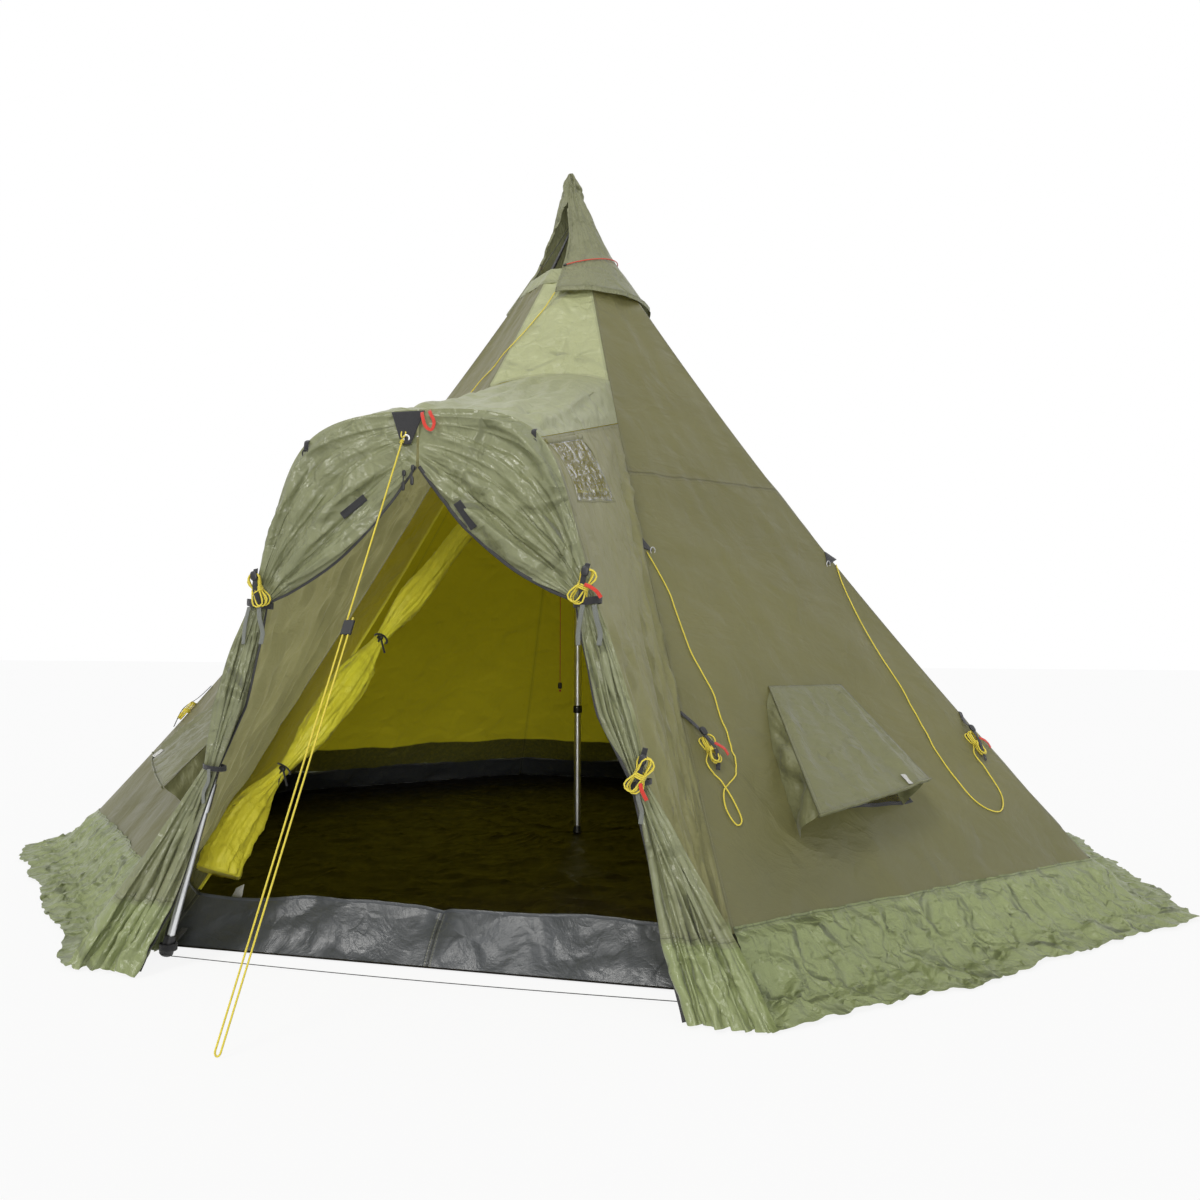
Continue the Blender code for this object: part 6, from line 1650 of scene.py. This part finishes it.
def make_leg_fittings(hand, where, front):
    """On one leg of the arch: the flap's ties and their tails, the leg's strap, a hook, and the band at the foot."""
    x = hand * (leg_half(TIE_HEIGHT) - 0.005)
    band_round("flap_tie_" + where, x, PORCH_Y - 0.010, 0.032, 0.026, 0.0085, TIE_HEIGHT + 0.004, hand * 0.005)
    low = hand * leg_half(LOW_TIE)
    band_round("flap_low_tie_" + where, low, PORCH_Y - 0.009, 0.028, 0.024, 0.0060, LOW_TIE, hand * 0.004)
    for k, lean in enumerate((-0.010, 0.016)):
        tail = around((x + hand * 0.004 + lean, front - 0.022, TIE_HEIGHT - 0.004), (0, 0, 0),
                      (lean * 0.4, -0.006, -0.030), (lean * 0.9, -0.005, -0.062), (lean * 0.8, -0.010, -0.090))
        ribbon("flap_tail_%s_%d" % (where, k), tail, 0.0058, "grey_webbing", (0.1, 1, 0), twist=0.3 * (k - 0.5))
    tail = around((low, front - 0.019, LOW_TIE - 0.002), (0, 0, 0), (0.003, -0.006, -0.028),
                  (hand * 0.010, -0.004, -0.055), (hand * 0.008, -0.008, -0.082))
    ribbon("flap_low_tail_" + where, tail, 0.0050, "grey_webbing", (0.1, 1, 0))
    hank = np.array([hand * LEG_HANK[0], front - 0.030, LEG_HANK[1]])
    storage_strap("leg", "_" + where, hank, ((hand * 0.010, 0.018, 0.052), (hand * 0.004, 0.006, 0.028),
                                             (0, -0.001, 0.002), (-hand * 0.006, 0.010, -0.032)),
                  (hand * 0.006, 0.004, 0.034), hand * 0.2)
    if hand > 0:
        tab = around(hank, (0.006, -0.002, 0.004), (0.020, -0.008, -0.002), (0.034, -0.008, -0.012),
                     (0.044, -0.005, -0.026))
        ribbon("leg_tab_" + where, tab, 0.0044, "red_webbing", (0, -1, 0.3))
    hook = arch_off(ROOF_EDGE, cloth_out(ROOF_EDGE) - 0.004, front - 0.010, hand)
    ribbon("hook_tape_" + where, around(hook, (0, 0.012, 0.016), (0, 0.002, 0.010), (0, -0.001, -0.004),
                                        (0, 0.002, -0.014)), 0.0060, reference=(0, -1, 0.2))
    ring = ring_round(hook + (0, -0.003, -0.020), (0.0080, 0, 0), (0, -0.003, 0.0100), 26)
    piece(strand("hook_ring_" + where, ring, 0.0016, 0.0016, (0, 1, 0), "black_plastic", 10))
    foot = np.array([hand * leg_half(0.03), PORCH_Y, 0.026])
    band_round("foot_band_" + where, foot[0], foot[1], FOOT_RADIUS + 0.004, FOOT_RADIUS + 0.003, 0.009, foot[2])
    ribbon("foot_tape_" + where, around(foot, (0, 0.022, 0.006), (hand * 0.004, 0.050, 0.012),
                                        (hand * 0.012, 0.085, 0.020)), 0.0085, reference=(0, 0.2, 1))


def make_fittings():
    """Straps, ties, hooks, velcro, zip pulls and the front guy's patch, on the walls and round the doorway."""
    make_wall_fittings()
    front = PORCH_Y - HEM / 2
    for hand, where in HANDS:
        make_leg_fittings(hand, where, front)
    for hand, where in HANDS:
        velcro = lay_on_flap(where, VELCRO[where])
        piece(strand("velcro_" + where, velcro, 0.0100, 0.0013, (0, -1, 0.1), "webbing", 12, 0.4))
        pull = np.array([-0.019 + hand * 0.011, front - 0.012, 1.180 + hand * 0.006])
        piece(pebble("zip_slider_" + where, pull, (0, 0, 1), (0, -1, 0), (0.0075, 0.0045, 0.0034), "black_plastic",
                     rounds=14))
        ribbon("zip_cord_" + where, around(pull, (0, -0.002, -0.004), (0, -0.004, -0.014), (0, -0.004, -0.022)), 0.0014,
               count=16)
        piece(pebble("zip_pull_" + where, pull + (0, -0.004, -0.031), (0, 0, 1), (0, -1, 0), (0.0110, 0.0044, 0.0030),
                     "black_plastic", rounds=14))
    hank = np.array([FLAP_HANK[0], front - 0.024, FLAP_HANK[1]])
    storage_strap("flap", "", hank, ((0.010, 0.014, 0.058), (0.004, 0.002, 0.028), (0, -0.008, 0.000),
                                     (-0.006, 0.006, -0.036)), (0.006, -0.002, 0.034), 0.2)
    tab = around(hank, (0.002, -0.010, -0.016), (0.005, -0.014, -0.028), (0.011, -0.012, -0.042),
                 (0.016, -0.010, -0.052))
    ribbon("flap_tab", tab, 0.0044, "red_webbing", (0, -1, 0.3))

    a, d = shares(22, 26, -1)
    z = lerp(PATCH_TOP, EYELET[1] - 0.014, d)
    x = EYELET[0] + a * lerp(0.5, 0.14, d) * 0.084
    bulge = 0.0012 * np.cos(a * math.pi / 2)
    patch = piece(surface("guy_patch", stack(x, off_patch(z) - 0.0021 - bulge, z), "webbing"))
    thick = patch.modifiers.new("Thickness", "SOLIDIFY")
    thick.thickness = 0.0018
    thick.offset = -1.0
    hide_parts("guy_patch")
    at = (EYELET[0], off_patch(EYELET[1]) - 0.0030, EYELET[1])
    ring = ring_round(at, (0.0072, 0, 0), (0, -PATCH_LEAN * 0.0072, 0.0072), 40)
    piece(strand("guy_eyelet", ring, 0.0026, 0.0013, (0, 1, 0.1), "steel", 14))
    loop = around((0.010, front - 0.012, 1.312), (0, 0.010, 0.010), (0.006, -0.004, -0.004), (0.016, -0.010, -0.030),
                  (0.030, -0.008, -0.040), (0.036, -0.006, -0.022), (0.024, 0.000, 0.002), (0.018, 0.010, 0.010))
    ribbon("red_loop", loop, 0.0042, "red_webbing", (0, -1, 0.4), 50)


# Camera and stage
def make_camera():
    """The photograph's viewpoint: low, just outside the door and to its right, looking slightly up."""
    yaw, pitch, roll = (math.radians(v) for v in (-13.61, -2.98, 0.25))
    ahead = np.array([math.sin(yaw) * math.cos(pitch), math.cos(yaw) * math.cos(pitch), -math.sin(pitch)])
    right = np.array([math.cos(yaw), -math.sin(yaw), 0.0])
    up = np.cross(right, ahead)
    right, up = right * math.cos(roll) + up * math.sin(roll), up * math.cos(roll) - right * math.sin(roll)
    lens = bpy.data.cameras.new("photo_camera")
    lens.sensor_width, lens.lens = 36.0, 29.07
    lens.shift_x, lens.shift_y = 0.0425, -0.0017
    holder = linked("photo_camera", lens)
    turned = Matrix(np.stack([right, up, -ahead], -1).tolist()).to_4x4()
    turned.translation = (0.835, -3.964, 0.764)
    holder.matrix_world = turned
    bpy.context.scene.camera = holder


def make_lamp(name, strength, angle, toward, colour=(1.0, 1.0, 1.0)):
    lamp = bpy.data.lights.new(name, "SUN")
    lamp.energy, lamp.angle, lamp.color = strength, math.radians(angle), colour
    holder = linked(name, lamp)
    back = unit(np.asarray(toward, float))
    side = unit(np.cross((0, 0, 1), back))
    holder.matrix_world = Matrix(np.stack([side, np.cross(back, side), back], -1).tolist()).to_4x4()


def make_stage():
    """A flat pale floor, three soft sun lamps, and an even white sky."""
    scene = bpy.context.scene
    scene.view_settings.view_transform = "Standard"
    reach = np.linspace(-40, 40, 41)
    floor = surface("stage_floor", stack(reach[None, :], reach[:, None], -0.0004), "stage_floor")
    level = scene.tent_sizes.light
    make_lamp("key_lamp", 1.20 * level, 16, (-0.34, -0.80, 0.90), (1.0, 0.985, 0.95))
    make_lamp("door_lamp", 1.40 * level, 24, (0.35, -1.0, 0.08), (1.0, 0.99, 0.97))
    make_lamp("fill_lamp", 0.14 * level, 60, (0.9, -0.5, 0.6), (0.93, 0.96, 1.0))
    world = bpy.data.worlds.new("white_sky")
    world.use_nodes = True
    tree = world.node_tree
    tree.nodes.clear()
    graph = Graph.__new__(Graph)
    graph.tree = tree
    soft = graph.node("ShaderNodeBackground", values={"Color": (0.97, 0.98, 1.0, 1.0), "Strength": 0.44 * level})
    white = graph.node("ShaderNodeBackground", values={"Color": (1.0, 1.0, 1.0, 1.0), "Strength": 1.0})
    both = graph.node("ShaderNodeMixShader", values=[graph.looked_at(), soft, white])
    graph.node("ShaderNodeOutputWorld", values={"Surface": both})
    scene.world = world


# Add-on classes
class TentColours(bpy.types.PropertyGroup):
    """Base colours of the tent's cloths and its bright cord."""
    wall: bpy.props.FloatVectorProperty(name="Walls", description="Olive cloth of the walls", subtype="COLOR",
                                        default=(0.153, 0.148, 0.061), min=0, max=1)
    porch: bpy.props.FloatVectorProperty(name="Porch", description="Lighter cloth of porch, flaps and front panel",
                                         subtype="COLOR", default=(0.345, 0.368, 0.200), min=0, max=1)
    hood: bpy.props.FloatVectorProperty(name="Hoods", description="Cloth of the vent hoods", subtype="COLOR",
                                        default=(0.180, 0.183, 0.088), min=0, max=1)
    cap: bpy.props.FloatVectorProperty(name="Cap", description="Cloth of the storm cap", subtype="COLOR",
                                       default=(0.215, 0.222, 0.120), min=0, max=1)
    skirt: bpy.props.FloatVectorProperty(name="Skirt", description="Thin cloth of the skirt on the ground",
                                         subtype="COLOR", default=(0.238, 0.278, 0.118), min=0, max=1)
    inner: bpy.props.FloatVectorProperty(name="Inner tent", description="Yellow cloth of the inner tent",
                                         subtype="COLOR", default=(0.80, 0.69, 0.035), min=0, max=1)
    floor: bpy.props.FloatVectorProperty(name="Groundsheet", description="Coated cloth of the floor", subtype="COLOR",
                                         default=(0.009, 0.006, 0.0045), min=0, max=1)
    tub: bpy.props.FloatVectorProperty(name="Upstand", description="Grey cloth of the floor's upstand", subtype="COLOR",
                                       default=(0.060, 0.065, 0.070), min=0, max=1)
    cord: bpy.props.FloatVectorProperty(name="Guy lines", description="Colour of the guy lines", subtype="COLOR",
                                        default=(0.86, 0.70, 0.035), min=0, max=1)


class TentSizes(bpy.types.PropertyGroup):
    """How loosely the cloth lies, and how strong the light is."""
    drape: bpy.props.FloatProperty(name="Wall folds", description="Height of the walls' pulled folds, 1 as set up",
                                   default=1.0, min=0.0, max=2.0, subtype="FACTOR")
    skirt_folds: bpy.props.FloatProperty(name="Skirt folds", description="Height of the skirt's crumples, 1 as set up",
                                         default=1.0, min=0.2, max=1.5, subtype="FACTOR")
    light: bpy.props.FloatProperty(name="Light", description="Strength of the lamps and sky, 1 as set up", default=1.0,
                                   min=0.0, max=4.0, subtype="FACTOR")


class TENT_OT_camera(bpy.types.Operator):
    """Add the camera at the photograph's viewpoint"""
    bl_idname = "tent.camera"
    bl_label = "Camera"

    def execute(self, context):
        make_camera()
        return {"FINISHED"}


class TENT_OT_cords(bpy.types.Operator):
    """Add the guy lines, bridles, hanks and small cords"""
    bl_idname = "tent.cords"
    bl_label = "Cords"

    def execute(self, context):
        make_cords()
        return {"FINISHED"}


class TENT_OT_walls(bpy.types.Operator):
    """Add the outer walls, the front panel and the crown band"""
    bl_idname = "tent.walls"
    bl_label = "Walls"

    def execute(self, context):
        make_walls()
        return {"FINISHED"}


class TENT_OT_skirts(bpy.types.Operator):
    """Add the crumpled skirt round the walls' feet"""
    bl_idname = "tent.skirts"
    bl_label = "Skirt"

    def execute(self, context):
        make_skirts()
        return {"FINISHED"}


class TENT_OT_porch(bpy.types.Operator):
    """Add the porch roof, sides and window"""
    bl_idname = "tent.porch"
    bl_label = "Porch"

    def execute(self, context):
        make_porch()
        return {"FINISHED"}


class TENT_OT_flaps(bpy.types.Operator):
    """Add the tied-back door flaps"""
    bl_idname = "tent.flaps"
    bl_label = "Door flaps"

    def execute(self, context):
        make_flaps()
        return {"FINISHED"}


class TENT_OT_vents(bpy.types.Operator):
    """Add the vent nets, hoods and gussets"""
    bl_idname = "tent.vents"
    bl_label = "Vents"

    def execute(self, context):
        make_vents()
        return {"FINISHED"}


class TENT_OT_peak(bpy.types.Operator):
    """Add the peak straps, the storm cap and its elastic"""
    bl_idname = "tent.peak"
    bl_label = "Peak and cap"

    def execute(self, context):
        make_peak()
        return {"FINISHED"}


class TENT_OT_inner(bpy.types.Operator):
    """Add the inner tent and its rolled door"""
    bl_idname = "tent.inner"
    bl_label = "Inner tent"

    def execute(self, context):
        make_inner()
        return {"FINISHED"}


class TENT_OT_floor(bpy.types.Operator):
    """Add the groundsheet and its upstand"""
    bl_idname = "tent.floor"
    bl_label = "Groundsheet"

    def execute(self, context):
        make_floor()
        return {"FINISHED"}


class TENT_OT_poles(bpy.types.Operator):
    """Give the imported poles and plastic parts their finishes"""
    bl_idname = "tent.poles"
    bl_label = "Poles"

    def execute(self, context):
        make_poles()
        return {"FINISHED"}


class TENT_OT_fittings(bpy.types.Operator):
    """Add straps, buckles, tabs, hooks, velcro and the guy patch"""
    bl_idname = "tent.fittings"
    bl_label = "Fittings"

    def execute(self, context):
        make_fittings()
        return {"FINISHED"}


class TENT_OT_stage(bpy.types.Operator):
    """Add the pale floor, the soft lamps and the white sky"""
    bl_idname = "tent.stage"
    bl_label = "Stage"

    def execute(self, context):
        make_stage()
        return {"FINISHED"}


STEPS = ("camera", "cords", "walls", "skirts", "porch", "flaps", "vents", "peak", "inner", "floor", "poles", "fittings",
         "stage")


class TENT_PT_panel(bpy.types.Panel):
    """Colours and steps of the tent in the 3D view's sidebar"""
    bl_idname = "TENT_PT_panel"
    bl_label = "Tent"
    bl_space_type = "VIEW_3D"
    bl_region_type = "UI"
    bl_category = "Tent"

    def draw(self, context):
        for group in (context.scene.tent_colours, context.scene.tent_sizes):
            for label in group.__annotations__:
                self.layout.prop(group, label)
        for step in STEPS:
            self.layout.operator("tent." + step)


CLASSES = (TentColours, TentSizes, TENT_OT_camera, TENT_OT_cords, TENT_OT_walls, TENT_OT_skirts, TENT_OT_porch,
           TENT_OT_flaps, TENT_OT_vents, TENT_OT_peak, TENT_OT_inner, TENT_OT_floor, TENT_OT_poles, TENT_OT_fittings,
           TENT_OT_stage, TENT_PT_panel)


def register():
    for kind in CLASSES:
        bpy.utils.register_class(kind)
    bpy.types.Scene.tent_colours = bpy.props.PointerProperty(type=TentColours)
    bpy.types.Scene.tent_sizes = bpy.props.PointerProperty(type=TentSizes)


def unregister():
    del bpy.types.Scene.tent_sizes
    del bpy.types.Scene.tent_colours
    for kind in reversed(CLASSES):
        bpy.utils.unregister_class(kind)


def main():
    register()
    for step in STEPS:
        getattr(bpy.ops.tent, step)()


if __name__ == "__main__":
    main()
